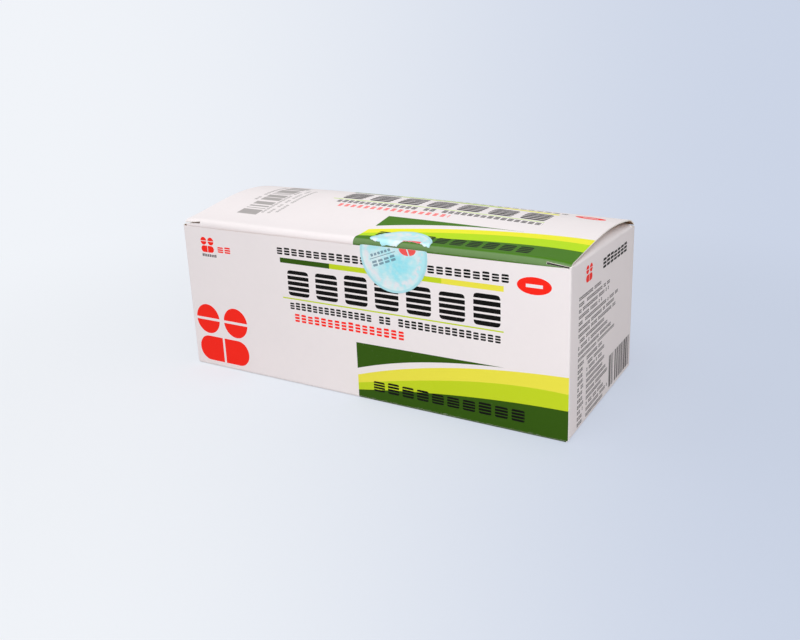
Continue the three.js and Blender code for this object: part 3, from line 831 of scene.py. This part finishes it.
def glue_flap():
    depth_in = np.linspace(0, GLUE_WIDTH, 15)
    low, high = 3.9 + depth_in * 0.2, 55 - depth_in * 0.2
    share, inn = grid(np.linspace(0, 1, 15), depth_in)
    z = low[None, :] * (1 - share) + high[None, :] * share
    x = np.full_like(z, -WALL_MIDDLE + BOARD + GLUE_GAP)
    middle = np.stack([x, HINGE_Y - BOARD - GLUE_GAP - inn, z], axis=2)
    blank = np.stack([z * 0 + BARE_PLACE[0], z * 0 + BARE_PLACE[1]], axis=2)
    return folded_sheet(middle[::-1], BOARD, blank[::-1])


carton_sheets += [glue_flap()] + bottom_sheets
folded_carton = make_piece("folded_carton", carton_sheets, [carton_print, board_inside, board_edge])
finish_piece(folded_carton, "carton", "carton_board", "carton")

# %% [markdown]
# ## Lid
# The lid swings on the fold at the back. Its panel springs up from that fold, bows over the bottles and
# comes down to a soft crease, where the tuck flap turns into the box. One rule gives its height anywhere,
# so the seal can lie on it too.

# %% How the lid is bent
BOW_LEFT, BOW_MIDDLE, BOW_RIGHT, CROWN_SHIFT = 6.4, 6.28, 2.5, 1.27
CREASE_RISE, LEFT_LIFT, CORNER_DROOP = 1.8, 1.2, 1.2
SPRING_BACK, SPRING_RUN = 1.7, 6.4
TAB_DROOP = 0.3


def lid_rise(x, run):
    """Height above the hinge, at x along the lid and a share run of the way from hinge to crease."""
    u = x / LID_HALF
    bow = BOW_LEFT * u * (u - 1) / 2 + BOW_MIDDLE * (1 - u * u) + BOW_RIGHT * u * (u + 1) / 2
    crease = CREASE_RISE + LEFT_LIFT * np.maximum(-u, 0) ** 3
    droop = CORNER_DROOP * np.abs(u) ** 10 * np.minimum(run, 1) ** 4
    spring = 1 - (1 - np.minimum(run * PANEL_RUN / SPRING_RUN, 1)) ** 2
    arch = np.sin(math.pi * np.clip(1 - run, 0, 1) ** CROWN_SHIFT)
    return (SPRING_BACK * (1 - run) + crease * run) * spring + bow * arch - droop


def crease_at(x):
    """The panel's slope where the crease starts, the crease's radius and how far it turns."""
    slope = np.arctan((lid_rise(x, 0.95) - lid_rise(x, 1.0)) / (0.05 * PANEL_RUN))
    return slope, CREASE_REACH / (1 - np.sin(slope)), math.pi / 2 + TUCK_LEAN - slope


def lid_point(x, stage, straight=0.0):
    """The middle of the board: stage 0 to 1 over the panel, to 2 round the crease, to 3 down the tuck."""
    x, stage, straight = np.broadcast_arrays(np.asarray(x, float), stage, straight)
    run = np.minimum(stage, 1)
    flat = np.stack([x, HINGE_Y - run * PANEL_RUN, HINGE_Z + lid_rise(x, run)], axis=-1)
    slope, radius, turn = crease_at(x)
    start_z = HINGE_Z + lid_rise(x, np.ones_like(x))
    heading = slope + turn * np.clip(stage - 1, 0, 1)
    down = TUCK_DEPTH * np.maximum(stage - 2, 0)
    y = CREASE_START - radius * (np.sin(heading) - np.sin(slope)) - down * np.cos(heading)
    z = start_z - radius * (np.cos(slope) - np.cos(heading)) - down * np.sin(heading)
    ahead = radius * turn * np.maximum(stage - 1, 0)
    y = y * (1 - straight) + (CREASE_START - np.cos(slope) * ahead) * straight
    z = z * (1 - straight) + (start_z - np.sin(slope) * ahead - TAB_DROOP * ahead ** 2) * straight
    bent = np.stack([x, y, z], axis=-1)
    return np.where((stage <= 1)[..., None], flat, bent)


print("crown of the lid", round(float(lid_rise(0.0, np.linspace(0, 1, 99)).max()), 2), "mm above the hinge")

# %% [markdown]
# A slit at each end of the crease lets the last 8 mm run on nearly straight over the dust flap, which locks
# the lid. Cells left out of the sheet are the slits. The tuck flap below them is a little shorter than the
# lid, with round corners.

# %% The lid with its slits and tuck flap
PANEL_ROWS, CREASE_ROWS, SLIT_ROWS, SLIT_BAYS = 56, 12, 3, 8
TUCK_INSET = 0.8


def lid_sheet():
    outer = SLIT_START + SLIT_LENGTH * np.arange(1, SLIT_BAYS + 1) / SLIT_BAYS
    stations = np.concatenate([-outer[::-1], np.linspace(-SLIT_START, SLIT_START, 97), outer])
    stages = np.concatenate([(np.arange(PANEL_ROWS + 1) / PANEL_ROWS) ** 1.4,
                             1 + np.arange(1, CREASE_ROWS + 1) / CREASE_ROWS,
                             2 + np.linspace(0, 1, 21)[1:] ** 0.8])
    slit_row = PANEL_ROWS + CREASE_ROWS // 2
    x, stage = grid(stations, stages)
    share = np.clip((np.abs(x) - SLIT_START) / SLIT_LENGTH, 0, 1)
    is_tuck = np.arange(len(stages))[None, :] > slit_row + 1
    corner = np.maximum(TUCK_CORNER - TUCK_DEPTH * (3 - np.maximum(stage, 2)), 0)
    rounding = TUCK_CORNER - np.sqrt(TUCK_CORNER ** 2 - np.minimum(corner, TUCK_CORNER) ** 2)
    inset = np.where(is_tuck, TUCK_INSET + rounding, 0)
    straight = np.where(is_tuck, 0, np.minimum(share * 3, 1))
    middle = lid_point(x - np.sign(x) * inset * share, stage, straight)
    kept = np.ones((len(stations) - 1, len(stages) - 1), bool)
    beyond = np.abs((stations[1:] + stations[:-1]) / 2) > SLIT_START
    kept[beyond, slit_row:slit_row + SLIT_ROWS] = False
    _, radius, turn = crease_at(x)
    behind = np.where(stage <= 1, (1 - stage) * PANEL_RUN, -radius * turn * np.clip(stage - 1, 0, 1))
    behind = behind - TUCK_DEPTH * np.maximum(stage - 2, 0)
    return folded_sheet(middle[::-1], BOARD, np.stack([x, behind], axis=2)[::-1], kept[::-1])


lid_panel = lid_sheet()
print("lid panel", len(lid_panel[1]), "faces")

# %% [markdown]
# At the hinge the board rolls over in a half round, which is also where the lid turns. It is drawn as
# rings of points round the panel's back edge.

# %% Rolled edge at the hinge
def rolled_edge(rings=9):
    x = np.linspace(-LID_HALF, LID_HALF, 113)
    first, second = lid_point(x, 0.0), lid_point(x, 0.0005)
    ahead = second - first
    ahead /= np.linalg.norm(ahead, axis=1, keepdims=True)
    upward = np.stack([x * 0, ahead[:, 2], -ahead[:, 1]], axis=1)
    half = BOARD / 2
    points = np.stack([first + upward * (half * math.cos(a)) - ahead * (half * math.sin(a))
                       for a in np.linspace(0, math.pi, rings)], axis=1)
    number = np.arange(len(x) * rings).reshape(-1, rings)
    faces = [[number[i, k], number[i, k + 1], number[i + 1, k + 1], number[i + 1, k]]
             for i in range(len(x) - 1) for k in range(rings - 1)]
    blank = np.stack([np.repeat(x, rings), np.full(len(x) * rings, PANEL_RUN)], axis=1)
    return points.reshape(-1, 3), faces, [0] * len(faces), blank


tuck_lid = make_piece("tuck_lid", [lid_panel, rolled_edge()], [lid_print, board_inside, board_edge])
finish_piece(tuck_lid, "lid", "carton_board", "lid")

# %% [markdown]
# ## Seal
# A round seal of thin film joins the lid to the front panel until it is torn. It is pale blue with a cloudy
# light in it, a darker ring, plain dashes and two red shapes, and it is slightly wrinkled.

# %% Film of the seal
def film_tint(paint, u, v, fine):
    """The blue of the film, deeper in a patch below the middle, with its rings."""
    cloud = paint.noise(paint.pair(u, v), 0.12, 2.0, 0.5)
    away = paint.math("SQRT", u * u + v * v)
    patch_away = paint.math("SQRT", (u - 1.5) * (u - 1.5) + (v + 4.0) * (v + 4.0))
    patch = 1 - paint.soft(patch_away, 1.5, 9.0)
    clouded = paint.soft(cloud * 0.8 + fine * 0.2, 0.36, 0.62)
    colour = paint.mix(srgb(228, 242, 244), srgb(180, 236, 244), clouded)
    colour = paint.mix(colour, srgb(146, 230, 244), patch * paint.soft(fine, 0.2, 0.6) * 0.8)
    ring = paint.soft(away, 9.0, 10.4) * (1 - paint.soft(away, 11.2, 12.3))
    colour = paint.mix(colour, srgb(236, 232, 238), ring * paint.soft(fine, 0.62, 0.4) * 0.7)
    return paint.mix(colour, srgb(168, 224, 234), paint.soft(away, 12.3, 12.9) * 0.85)


def film_face():
    paint = Paint("seal_film_print")
    u, v = paint.flat_place("film")
    fine = paint.noise(paint.pair(u, v), 0.5, 3.0, 0.5)
    colour = film_tint(paint, u, v, fine)
    across, along = u * 0.94 + v * 0.34, v * 0.94 - u * 0.34
    line = within(along, 0.7, 0.95) & within(across, -9.8, 1.2)
    dashes = word_block(paint, across, along, (-9.6, 0.8, -2.1, 0.1), 2.6, 61, 0.24, 0.0, 2)
    small = word_block(paint, across, along, (-9.2, -0.4, 1.5, 2.5), 1.5, 67, 0.3, 0.0, 1)
    colour = paint.mix(colour, srgb(96, 128, 148), (line | dashes | small) * 0.8)
    lens = oval(u, v, 5.8, 2.2, 3.3, 2.1) & (1 - within(u + v * 0.35, 6.2, 6.7))
    wedge = within(u, 1.2, 8.1) & within(v, 4.0, 5.3 + 0.08 * u)
    colour = paint.mix(colour, srgb(250, 48, 34), (lens | wedge) * 0.92)
    wrinkle = paint.noise(paint.pair(u * 0.25, v * 0.6), 1.2, 3.0, 0.6)
    normal = paint.bump(wrinkle * 2.0 + fine * 0.3, 0.00012, 0.6)
    gloss = {"Specular_IOR_Level": 0.3, "Coat_Weight": 0.15, "Coat_Roughness": 0.2}
    return paint.surface(colour, 0.26 + 0.12 * fine, normal, **gloss)


def film_edge():
    paint = Paint("seal_film_edge")
    fluff = paint.noise(paint.place(), 2400.0, 4.0, 0.7)
    colour = paint.mix(srgb(250, 250, 250), srgb(222, 230, 234), fluff)
    return paint.surface(colour, 0.7 + 0.15 * fluff, paint.bump(fluff, 0.00008, 0.8))


seal_edge = film_edge()
seal_finishes = [film_face(), seal_edge, seal_edge]

# %% [markdown]
# The lower part of the seal is whole. It is a disc cut off along the panel's top edge, drawn as rings round
# a point inside it, and it lies slightly crinkled on the front panel.

# %% Lower part of the seal
RING_CENTRE = -4.0


def rim_reach(angle):
    """How far the film goes from the rings' centre, to its rim or to the panel's top edge."""
    c, s = math.cos(angle), math.sin(angle)
    under_root = (RING_CENTRE * s) ** 2 - RING_CENTRE ** 2 + SEAL_RADIUS ** 2
    out = -RING_CENTRE * s + math.sqrt(max(under_root, 0))
    return min(out, (SEAL_DROP - RING_CENTRE) / s) if s > 1e-6 else out


def lower_seal_sheet():
    angles = np.linspace(0, 2 * math.pi, 145)
    reach = np.array([rim_reach(a) for a in angles])
    shares = np.linspace(0, 1, 25)
    u = np.outer(reach * np.cos(angles), shares)
    v = np.outer(reach * np.sin(angles), shares) + RING_CENTRE
    crinkle = 0.02 * np.sin(u * 0.9 + v * 0.5) * np.sin(v * 1.1 - u * 0.2)
    y = -DEPTH / 2 - FILM / 2 + crinkle + 0.02
    middle = np.stack([SEAL_X + u, y, HEIGHT - SEAL_DROP + v], axis=2)
    return folded_sheet(middle[:, ::-1], FILM, np.stack([u, v], axis=2)[:, ::-1])


lower_seal = make_piece("lower_seal", [lower_seal_sheet()], seal_finishes, "film", 60)
finish_piece(lower_seal, "carton", "seal_film", "seal_lower")

# %% [markdown]
# The upper part came away with the lid. It lies over the crease with a ragged white edge, stands off the
# board a little, and sits further right than the lower part. The torn line goes through measured points,
# given in shares of the seal's radius, and a seeded jitter makes it ragged.

# %% Torn upper part of the seal
TEAR = [(-0.9, -0.05), (-0.7, -0.12), (-0.56, -0.09), (-0.52, -0.16), (-0.46, -0.2), (-0.36, -0.17),
        (-0.04, -0.19), (0.05, -0.1), (0.13, -0.02), (0.35, -0.03), (0.58, -0.06), (0.74, -0.1),
        (0.9, -0.14)]
TEAR_LOWEST = -0.2 * SEAL_RADIUS
TORN_SHIFT, TORN_LIFT = 1.6, 0.12


def torn_line(shares):
    torn = np.interp(shares, *zip(*TEAR)) * SEAL_RADIUS
    rng = np.random.default_rng(7)
    ragged = np.convolve(rng.normal(0, 0.16, len(shares)), [0.3, 0.5, 0.3], "same")
    return np.maximum(torn + ragged, TEAR_LOWEST)


def upper_seal_sheet():
    shares = np.linspace(-0.9, 0.9, 109)
    start = torn_line(shares)
    offset = shares * SEAL_RADIUS
    _, radius, turn = crease_at(SEAL_X + TORN_SHIFT + offset)
    arc = radius * turn
    rim = np.sqrt(SEAL_RADIUS ** 2 - offset ** 2) - SEAL_DROP - arc
    rows = np.linspace(0, 1, 33)
    back = start[:, None] + (rim - start)[:, None] * rows[None, :] ** 1.5
    x = np.repeat((SEAL_X + TORN_SHIFT + offset)[:, None], len(rows), axis=1)
    stage = np.where(back > 0, 1 - back / PANEL_RUN, 1 - back / arc[:, None])
    point = lid_point(x, stage)
    ahead = lid_point(x, stage + 0.002) - lid_point(x, stage - 0.002)
    ahead /= np.linalg.norm(ahead, axis=2, keepdims=True)
    outward = np.stack([x * 0, ahead[..., 2], -ahead[..., 1]], axis=2)
    lift = BOARD / 2 + TORN_LIFT + FILM / 2 + 0.03 * np.sin(x * 1.1 + back * 0.7)
    film = np.stack([x - SEAL_X - TORN_SHIFT, back + SEAL_DROP + arc[:, None]], axis=2)
    return folded_sheet(point + outward * lift[..., None], FILM, film)


upper_seal = make_piece("upper_seal", [upper_seal_sheet()], seal_finishes, "film", 60)
finish_piece(upper_seal, "lid", "seal_film", "seal_upper")

# %% [markdown]
# ## Bottles
# Each small white bottle is blow-moulded, so its foot and shoulder are soft. A paper label runs round it.
# The plastic lets a little light in, with a faint haze and a fine grain from the mould.

# %% Bottle and label finishes
LABEL_REPEAT = 48.6


def moulded_plastic(name, light, dark):
    paint = Paint(name)
    place = paint.place()
    haze = paint.noise(place, 140.0, 3.0, 0.5)
    grain = paint.noise(place, 3000.0, 2.0, 0.5)
    colour = paint.mix(light, dark, paint.soft(haze, 0.3, 0.75))
    normal = paint.bump(grain + haze * 2.0, 0.00003, 0.5)
    return paint.surface(colour, 0.36 + 0.1 * haze, normal, Subsurface_Weight=0.15, Subsurface_Scale=0.002)


def label_paper():
    paint = Paint("bottle_label")
    around, z = paint.flat_place("wrap")
    grain = paint.noise(paint.place(), 1800.0, 3.0, 0.6)
    u = paint.math("FLOORED_MODULO", around, LABEL_REPEAT)
    colour = paint.mix(srgb(246, 244, 240), srgb(232, 229, 224), grain)
    colour = paint.mix(colour, LIME, within(z, 7.4, 9.6))
    colour = paint.mix(colour, GREEN, within(z, 5.0, 7.4))
    title = word_block(paint, u, z, (6.0, 34.0, 21.0, 25.6), 5.6, 71, 0.2)
    rows = text_rows(paint, u, z, (6.0, 38.0, 11.0, 19.6), 1.7, 0.55, 1.05, 73, 0.4)
    colour = paint.mix(colour, srgb(60, 58, 62), title | rows)
    return paint.surface(colour, 0.5 + 0.1 * grain, paint.bump(grain, 0.00003, 0.6))


bottle_finishes = [moulded_plastic("bottle_white", srgb(244, 244, 241), srgb(234, 234, 230)), label_paper()]

# %% [markdown]
# A bottle is a turned shape: one outline from axis to axis, swept round. Where the outline meets the axis
# the ring shrinks to a single point, so the pole is closed. The label is a thin band just proud of the
# wall, and the neck has the rounds of a screw thread.

# %% Turned shapes
def turned(profile, blank_radius, centre, sides, kinds=None):
    """A closed turned shape as (points, faces, kinds, blank)."""
    profile = np.asarray(profile, float)
    angles = np.arange(sides) * 2 * math.pi / sides
    points, blank, number = [], [], []
    for radius, z in profile:
        ring = angles[:1] if radius < 1e-9 else angles
        number.append([len(points) + k for k in range(len(ring))])
        points += [(centre[0] + radius * math.cos(a), centre[1] + radius * math.sin(a), centre[2] + z)
                   for a in ring]
        blank += [((a - math.pi) * blank_radius, z) for a in ring]
    faces, made = [], []
    for row in range(len(profile) - 1):
        low, high = number[row], number[row + 1]
        for k in range(sides):
            a, b = low[k % len(low)], low[(k + 1) % len(low)]
            c, d = high[(k + 1) % len(high)], high[k % len(high)]
            face = list(dict.fromkeys([a, b, c, d]))
            if len(face) > 2:
                faces.append(face)
                made.append(kinds[row] if kinds else 0)
    return np.array(points), faces, made, np.array(blank, float)


def foot_centre(node):
    """The middle of a node's foot, in millimetres."""
    low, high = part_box(node)
    return ((low.x + high.x) * 500, (low.y + high.y) * 500, low.z * 1000)


print("first bottle stands at", [round(value, 2) for value in foot_centre("bottle_01")], "mm")

# %% [markdown]
# The outline starts under the foot, goes round its edge, up the wall and over the shoulder to the neck. The
# faces of the label's band get the paper finish and the others the plastic.

# %% Bottles
BOTTLE_RADIUS, NECK_RADIUS, FOOT_ROUND = 15.5, 9.4, 1.2
LABEL_PROUD, LABEL_LOW, LABEL_HIGH = 0.1, 3.65, 32.05


def bottle_profile():
    radius, neck, wall = BOTTLE_RADIUS, NECK_RADIUS, BOTTLE_RADIUS - LABEL_PROUD
    foot = [(0, 1.0), (9, 0.9), (12.4, 0.25), (14.0, 0)]
    rim = [(radius - FOOT_ROUND + FOOT_ROUND * math.sin(a), FOOT_ROUND - FOOT_ROUND * math.cos(a))
           for a in quarter(5)[1:-1]]
    label = [(wall, 1.6), (wall, 3.6), (wall, 3.61), (radius, 3.7), (radius, 32.0), (wall, 32.1)]
    shoulder = [(neck + (radius - neck) * math.cos(a), 36 + 4 * math.sin(a)) for a in quarter(8)]
    thread = [(neck, 41.2)]
    for turn in range(3):
        z = 42.2 + turn * 2.6
        thread += [(neck - 0.25, z), (neck, z + 0.6), (neck, z + 1.1), (neck - 0.25, z + 1.7)]
    return foot + rim + label + shoulder + thread + [(8.9, 50.2), (8.2, 50.4), (0, 50.4)]


def make_bottle(number):
    node = f"bottle_{number:02d}"
    profile = bottle_profile()
    wall = BOTTLE_RADIUS - LABEL_PROUD
    kinds = [int(LABEL_LOW < (a[1] + b[1]) / 2 < LABEL_HIGH and a[0] > wall)
             for a, b in zip(profile, profile[1:])]
    shape = turned(profile, BOTTLE_RADIUS, foot_centre(node), 64, kinds)
    piece = make_piece(f"medicine_bottle_{number:02d}", [shape], bottle_finishes, "wrap")
    return finish_piece(piece, "carton", "bottle_plastic", node)


bottles = [make_bottle(number) for number in range(1, 11)]

# %% [markdown]
# ## Screw caps
# A cap is a plain shell with fine upright ribs for grip. The ribs repeat, so Geometry Nodes set one small
# rib at each point of a circle, turned to face outwards.

# %% Ribs round a cap
RIB_SIZES = {"Count": 54, "Radius": 0.01072, "Height": 0.0088, "Width": 0.00034}
RIB_SIDES = 6


def add_step(tree, kind, links=None, **settings):
    """One node of a geometry tree, with its settings and the sockets that feed it."""
    node = tree.nodes.new(kind)
    for key, value in settings.items():
        setattr(node, key, value)
    for key, source in (links or {}).items():
        tree.links.new(source, node.inputs[key])
    return node


def ribs_tree():
    tree = bpy.data.node_groups.new("cap_ribs", "GeometryNodeTree")
    kinds = {"Count": "Int", "Radius": "Float", "Height": "Float", "Width": "Float", "Finish": "Material"}
    for name, kind in kinds.items():
        tree.interface.new_socket(name=name, in_out="INPUT", socket_type="NodeSocket" + kind)
    tree.interface.new_socket(name="Geometry", in_out="OUTPUT", socket_type="NodeSocketGeometry")
    given = add_step(tree, "NodeGroupInput").outputs
    circle = add_step(tree, "GeometryNodeMeshCircle", {"Vertices": given["Count"], "Radius": given["Radius"]})
    rib = add_step(tree, "GeometryNodeMeshCylinder", {"Radius": given["Width"], "Depth": given["Height"]})
    rib.inputs["Vertices"].default_value = RIB_SIDES
    spot = add_step(tree, "GeometryNodeInputPosition")
    turn = add_step(tree, "FunctionNodeAlignRotationToVector", {"Vector": spot.outputs[0]}, axis="X")
    spread = add_step(tree, "GeometryNodeInstanceOnPoints", {
        "Points": circle.outputs[0], "Instance": rib.outputs["Mesh"], "Rotation": turn.outputs[0]})
    real = add_step(tree, "GeometryNodeRealizeInstances", {0: spread.outputs[0]})
    coat = add_step(tree, "GeometryNodeSetMaterial", {0: real.outputs[0], "Material": given["Finish"]})
    add_step(tree, "NodeGroupOutput", {0: coat.outputs[0]})
    return tree


def rib_ring(tree, material):
    """The ribs of one cap round the origin, as points in millimetres and faces."""
    holder = bpy.data.objects.new("rib_ring", bpy.data.meshes.new("rib_ring"))
    bpy.context.scene.collection.objects.link(holder)
    modifier = holder.modifiers.new("ribs", "NODES")
    modifier.node_group = tree
    sockets = {item.name: item.identifier for item in tree.interface.items_tree if item.in_out == "INPUT"}
    for name, value in (RIB_SIZES | {"Finish": material}).items():
        modifier[sockets[name]] = value
    view = bpy.context.evaluated_depsgraph_get()
    mesh = bpy.data.meshes.new_from_object(holder.evaluated_get(view))
    points = np.array([v.co[:] for v in mesh.vertices]) * 1000
    faces = [list(p.vertices) for p in mesh.polygons]
    bpy.data.objects.remove(holder)
    bpy.data.meshes.remove(mesh)
    return points, faces


cap_white = moulded_plastic("cap_white", srgb(250, 250, 249), srgb(240, 240, 240))
one_ring = rib_ring(ribs_tree(), cap_white)
print("ribs of one cap", len(one_ring[1]), "faces")

# %% [markdown]
# The cap's shell is turned from its outline, open below with a wall of 1.2 mm, and has a soft round at its
# top. The ring of ribs is lifted to the middle of the skirt and joined to each shell.

# %% Caps
CAP_RADIUS, CAP_ROUND, RIB_MIDDLE = 10.8, 0.8, 5.2


def make_cap(number):
    node = f"cap_{number:02d}"
    centre = np.array(foot_centre(node))
    shell = [(0, 10.4), (9.6, 10.4), (9.8, 10.2), (9.8, 0), (10.7, 0), (CAP_RADIUS, 0.1),
             (CAP_RADIUS, 10.2), (10.76, 10.6)]
    shell += [(9.9 + CAP_ROUND * math.cos(a), 10.8 + CAP_ROUND * math.sin(a)) for a in quarter(5)]
    shell += [(8.8, 11.6), (8.5, 11.3), (0, 11.3)]
    body = turned(shell, CAP_RADIUS, centre, RIB_SIZES["Count"])
    points = one_ring[0] + centre + np.array([0, 0, RIB_MIDDLE])
    ribs = (points, one_ring[1], [0] * len(one_ring[1]), np.zeros((len(points), 2)))
    piece = make_piece(f"screw_cap_{number:02d}", [body, ribs], [cap_white], "wrap")
    return finish_piece(piece, "carton", "cap_plastic", node)


caps = [make_cap(number) for number in range(1, 11)]

# %% [markdown]
# ## Leaflets
# A leaflet is one long strip of thin paper folded to and fro and stood on edge behind the bottles. It is
# drawn as that strip, so that its top shows the round folds of a real one. Its print is small and even.

# %% Folded leaflets
PAGE_HEIGHT = 46.0
LEAFLET_THICK, LEAFLET_FOOT, LEAFLET_TOP = 1.25, 0.2, 45.75


def leaflet_finish():
    paint = Paint("leaflet_paper")
    u, v = paint.flat_place("page")
    grain = paint.noise(paint.place(), 1500.0, 4.0, 0.65)
    page = paint.math("FLOORED_MODULO", v, PAGE_HEIGHT)
    colour = paint.mix(srgb(247, 246, 242), srgb(234, 232, 226), grain)
    rows = text_rows(paint, u, page, (-13.0, 13.0, 3.0, 43.0), 1.5, 0.55, 0.8, 83, 0.3)
    colour = paint.mix(colour, srgb(84, 84, 92), rows * 0.9)
    return paint.surface(colour, 0.75 + 0.1 * grain, paint.bump(grain, 0.00003, 0.6))


def leaflet_path(layers=8, paper=0.1):
    """The strip from the side, up and down in turn, with a half-round fold between two layers."""
    pitch = (LEAFLET_THICK - paper) / (layers - 1)
    half = pitch / 2
    path = []
    for layer in range(layers):
        y = -LEAFLET_THICK / 2 + paper / 2 + layer * pitch
        rise = np.linspace(LEAFLET_FOOT, LEAFLET_TOP, 8)
        upward = layer % 2 == 0
        path += [(y, z) for z in (rise if upward else rise[::-1])]
        if layer < layers - 1:
            z, way = (LEAFLET_TOP, 1) if upward else (LEAFLET_FOOT, -1)
            bends = quarter(2)[1:]
            path += [(y + half * (1 - math.cos(a)), z + way * half * math.sin(a)) for a in bends]
            path += [(y + half * (1 + math.sin(a)), z + way * half * math.cos(a)) for a in bends[:-1]]
    return np.array(path)


def leaflet_sheet(centre, paper=0.1):
    path = leaflet_path()
    steps = np.concatenate([[0], np.cumsum(np.linalg.norm(np.diff(path, axis=0), axis=1))])
    x = np.linspace(-15, 15, 5)
    xx, yy = grid(x, path[:, 0])
    _, zz = grid(x, path[:, 1])
    _, ss = grid(x, steps)
    middle = np.stack([centre[0] + xx, centre[1] + yy, centre[2] + zz], axis=2)
    return folded_sheet(middle, paper, np.stack([xx, ss], axis=2))


def make_leaflet(number):
    node = f"leaflet_{number:02d}"
    sheet = leaflet_sheet(foot_centre(node))
    piece = make_piece(f"folded_leaflet_{number:02d}", [sheet], [leaflet_print] * 3, "page")
    return finish_piece(piece, "carton", "leaflet_paper", node)


leaflet_print = leaflet_finish()
leaflets = [make_leaflet(number) for number in range(1, 11)]
print("pieces", 4 + len(bottles) + len(caps) + len(leaflets))

# %% [markdown]
# ## Floor, backdrop and light
# The photograph stands the box on nothing: its background is a smooth pale blue-grey, lighter on the left.
# A wide round floor and the world behind it share one colour rule, so no horizon shows. The rule goes by
# the direction from one fixed point, where the photograph was taken, and so it stays put in other views.

# %% Floor and world
PALE_LEFT, PALE_RIGHT = srgb(241, 244, 249), srgb(203, 212, 230)
RIGHT_HAND = Vector((math.cos(math.radians(27)), math.sin(math.radians(27)), 0))
LEFT_END, RIGHT_END = -0.55, 0.42
FLOOR_DROP, FLOOR_RADIUS = 0.0001, 6.0


def pale_tint(paint, direction):
    side = paint.vector_math("DOT_PRODUCT", direction, RIGHT_HAND, output="Value")
    return paint.mix(PALE_LEFT, PALE_RIGHT, paint.soft(side, LEFT_END, RIGHT_END))


def floor_finish():
    paint = Paint("studio_floor")
    place = paint.place()
    ray = paint.vector_math("NORMALIZE", paint.vector_math("SUBTRACT", place, VIEW_POINT))
    colour = pale_tint(paint, ray)
    speck = paint.noise(place, 900.0, 2.0, 0.5)
    seen = paint.node("ShaderNodeLightPath", output="Is Camera Ray")
    plain = paint.mix(srgb(222, 219, 220), colour, seen)
    plain = paint.mix(plain, (0.0, 0.0, 0.0, 1.0), 0.14 + 0.18 * (1 - seen))
    matt = paint.node("ShaderNodeBsdfDiffuse", {}, {"Color": paint.mix(plain, (1, 1, 1, 1), speck * 0.05)})
    glow = paint.node("ShaderNodeEmission", {}, {"Color": colour, "Strength": 1.0})
    far = paint.vector_math("LENGTH", place, output="Value")
    share = seen * (0.68 + 0.32 * paint.soft(far, 0.12, 0.34))
    return paint.finish(paint.node("ShaderNodeMixShader", {}, {0: share, 1: matt, 2: glow}))


def make_floor():
    mesh = bpy.data.meshes.new("studio_floor")
    disc = bmesh.new()
    bmesh.ops.create_circle(disc, cap_ends=True, segments=96, radius=FLOOR_RADIUS)
    disc.to_mesh(mesh)
    disc.free()
    mesh.materials.append(floor_finish())
    floor = bpy.data.objects.new("studio_floor", mesh)
    floor.location.z = -FLOOR_DROP
    bpy.context.scene.collection.objects.link(floor)


def make_world(strength):
    """The camera sees the pale backdrop, and the box is lit by an even, slightly cool light."""
    paint = Paint("studio", "worlds")
    colour = pale_tint(paint, paint.node("ShaderNodeTexCoord", output="Generated"))
    seen = paint.node("ShaderNodeLightPath", output="Is Camera Ray")
    shown = paint.node("ShaderNodeBackground", {}, {"Color": colour})
    fill = paint.node("ShaderNodeBackground", {}, {"Color": (0.965, 0.975, 1.0, 1.0), "Strength": strength})
    both = paint.node("ShaderNodeMixShader", {}, {0: seen, 1: fill, 2: shown})
    bpy.context.scene.world = paint.finish(both, "ShaderNodeOutputWorld")


make_floor()
make_world(0.49)

# %% [markdown]
# The lamps are large and soft, at a level at which a colour renders about as it is written. Two suns give
# the top and the right end their even light, and two near softboxes give the front its slow fall-off.

# %% Lamps
AIM = Vector((0, 0, 0.03))


def add_light(lamp, strength, colour, place, towards):
    lamp.energy, lamp.color = strength, colour
    holder = bpy.data.objects.new(lamp.name, lamp)
    holder.location = place
    holder.rotation_euler = Vector(towards).to_track_quat("Z", "Y").to_euler()
    bpy.context.scene.collection.objects.link(holder)
    print(lamp.name, strength)


def add_sun(name, towards, strength, softness, colour):
    """A distant soft lamp: it lights every place alike. towards points from the box to the lamp."""
    lamp = bpy.data.lights.new(name, "SUN")
    lamp.angle = math.radians(softness)
    add_light(lamp, strength, colour, (0, 0, 0), towards)


def add_softbox(name, place, size, power, colour):
    """A near lamp: what it lights fades away from it, as along the front of the box in the photograph."""
    lamp = bpy.data.lights.new(name, "AREA")
    lamp.shape, lamp.size = "SQUARE", size
    add_light(lamp, power, colour, place, Vector(place) - AIM)


add_sun("top_softbox", (0.0, -0.55, 1.0), 1.15, 50, (1.0, 0.99, 0.96))
add_sun("end_softbox", (1.0, -0.1, 0.8), 0.22, 60, (1.0, 0.985, 0.965))
add_softbox("left_lamp", (-0.42, -0.1, 0.55), 0.4, 0.62, (1.0, 0.99, 0.97))
add_softbox("right_lamp", (0.2, -0.33, 0.16), 0.2, 0.42, (0.975, 0.985, 1.0))

# %% [markdown]
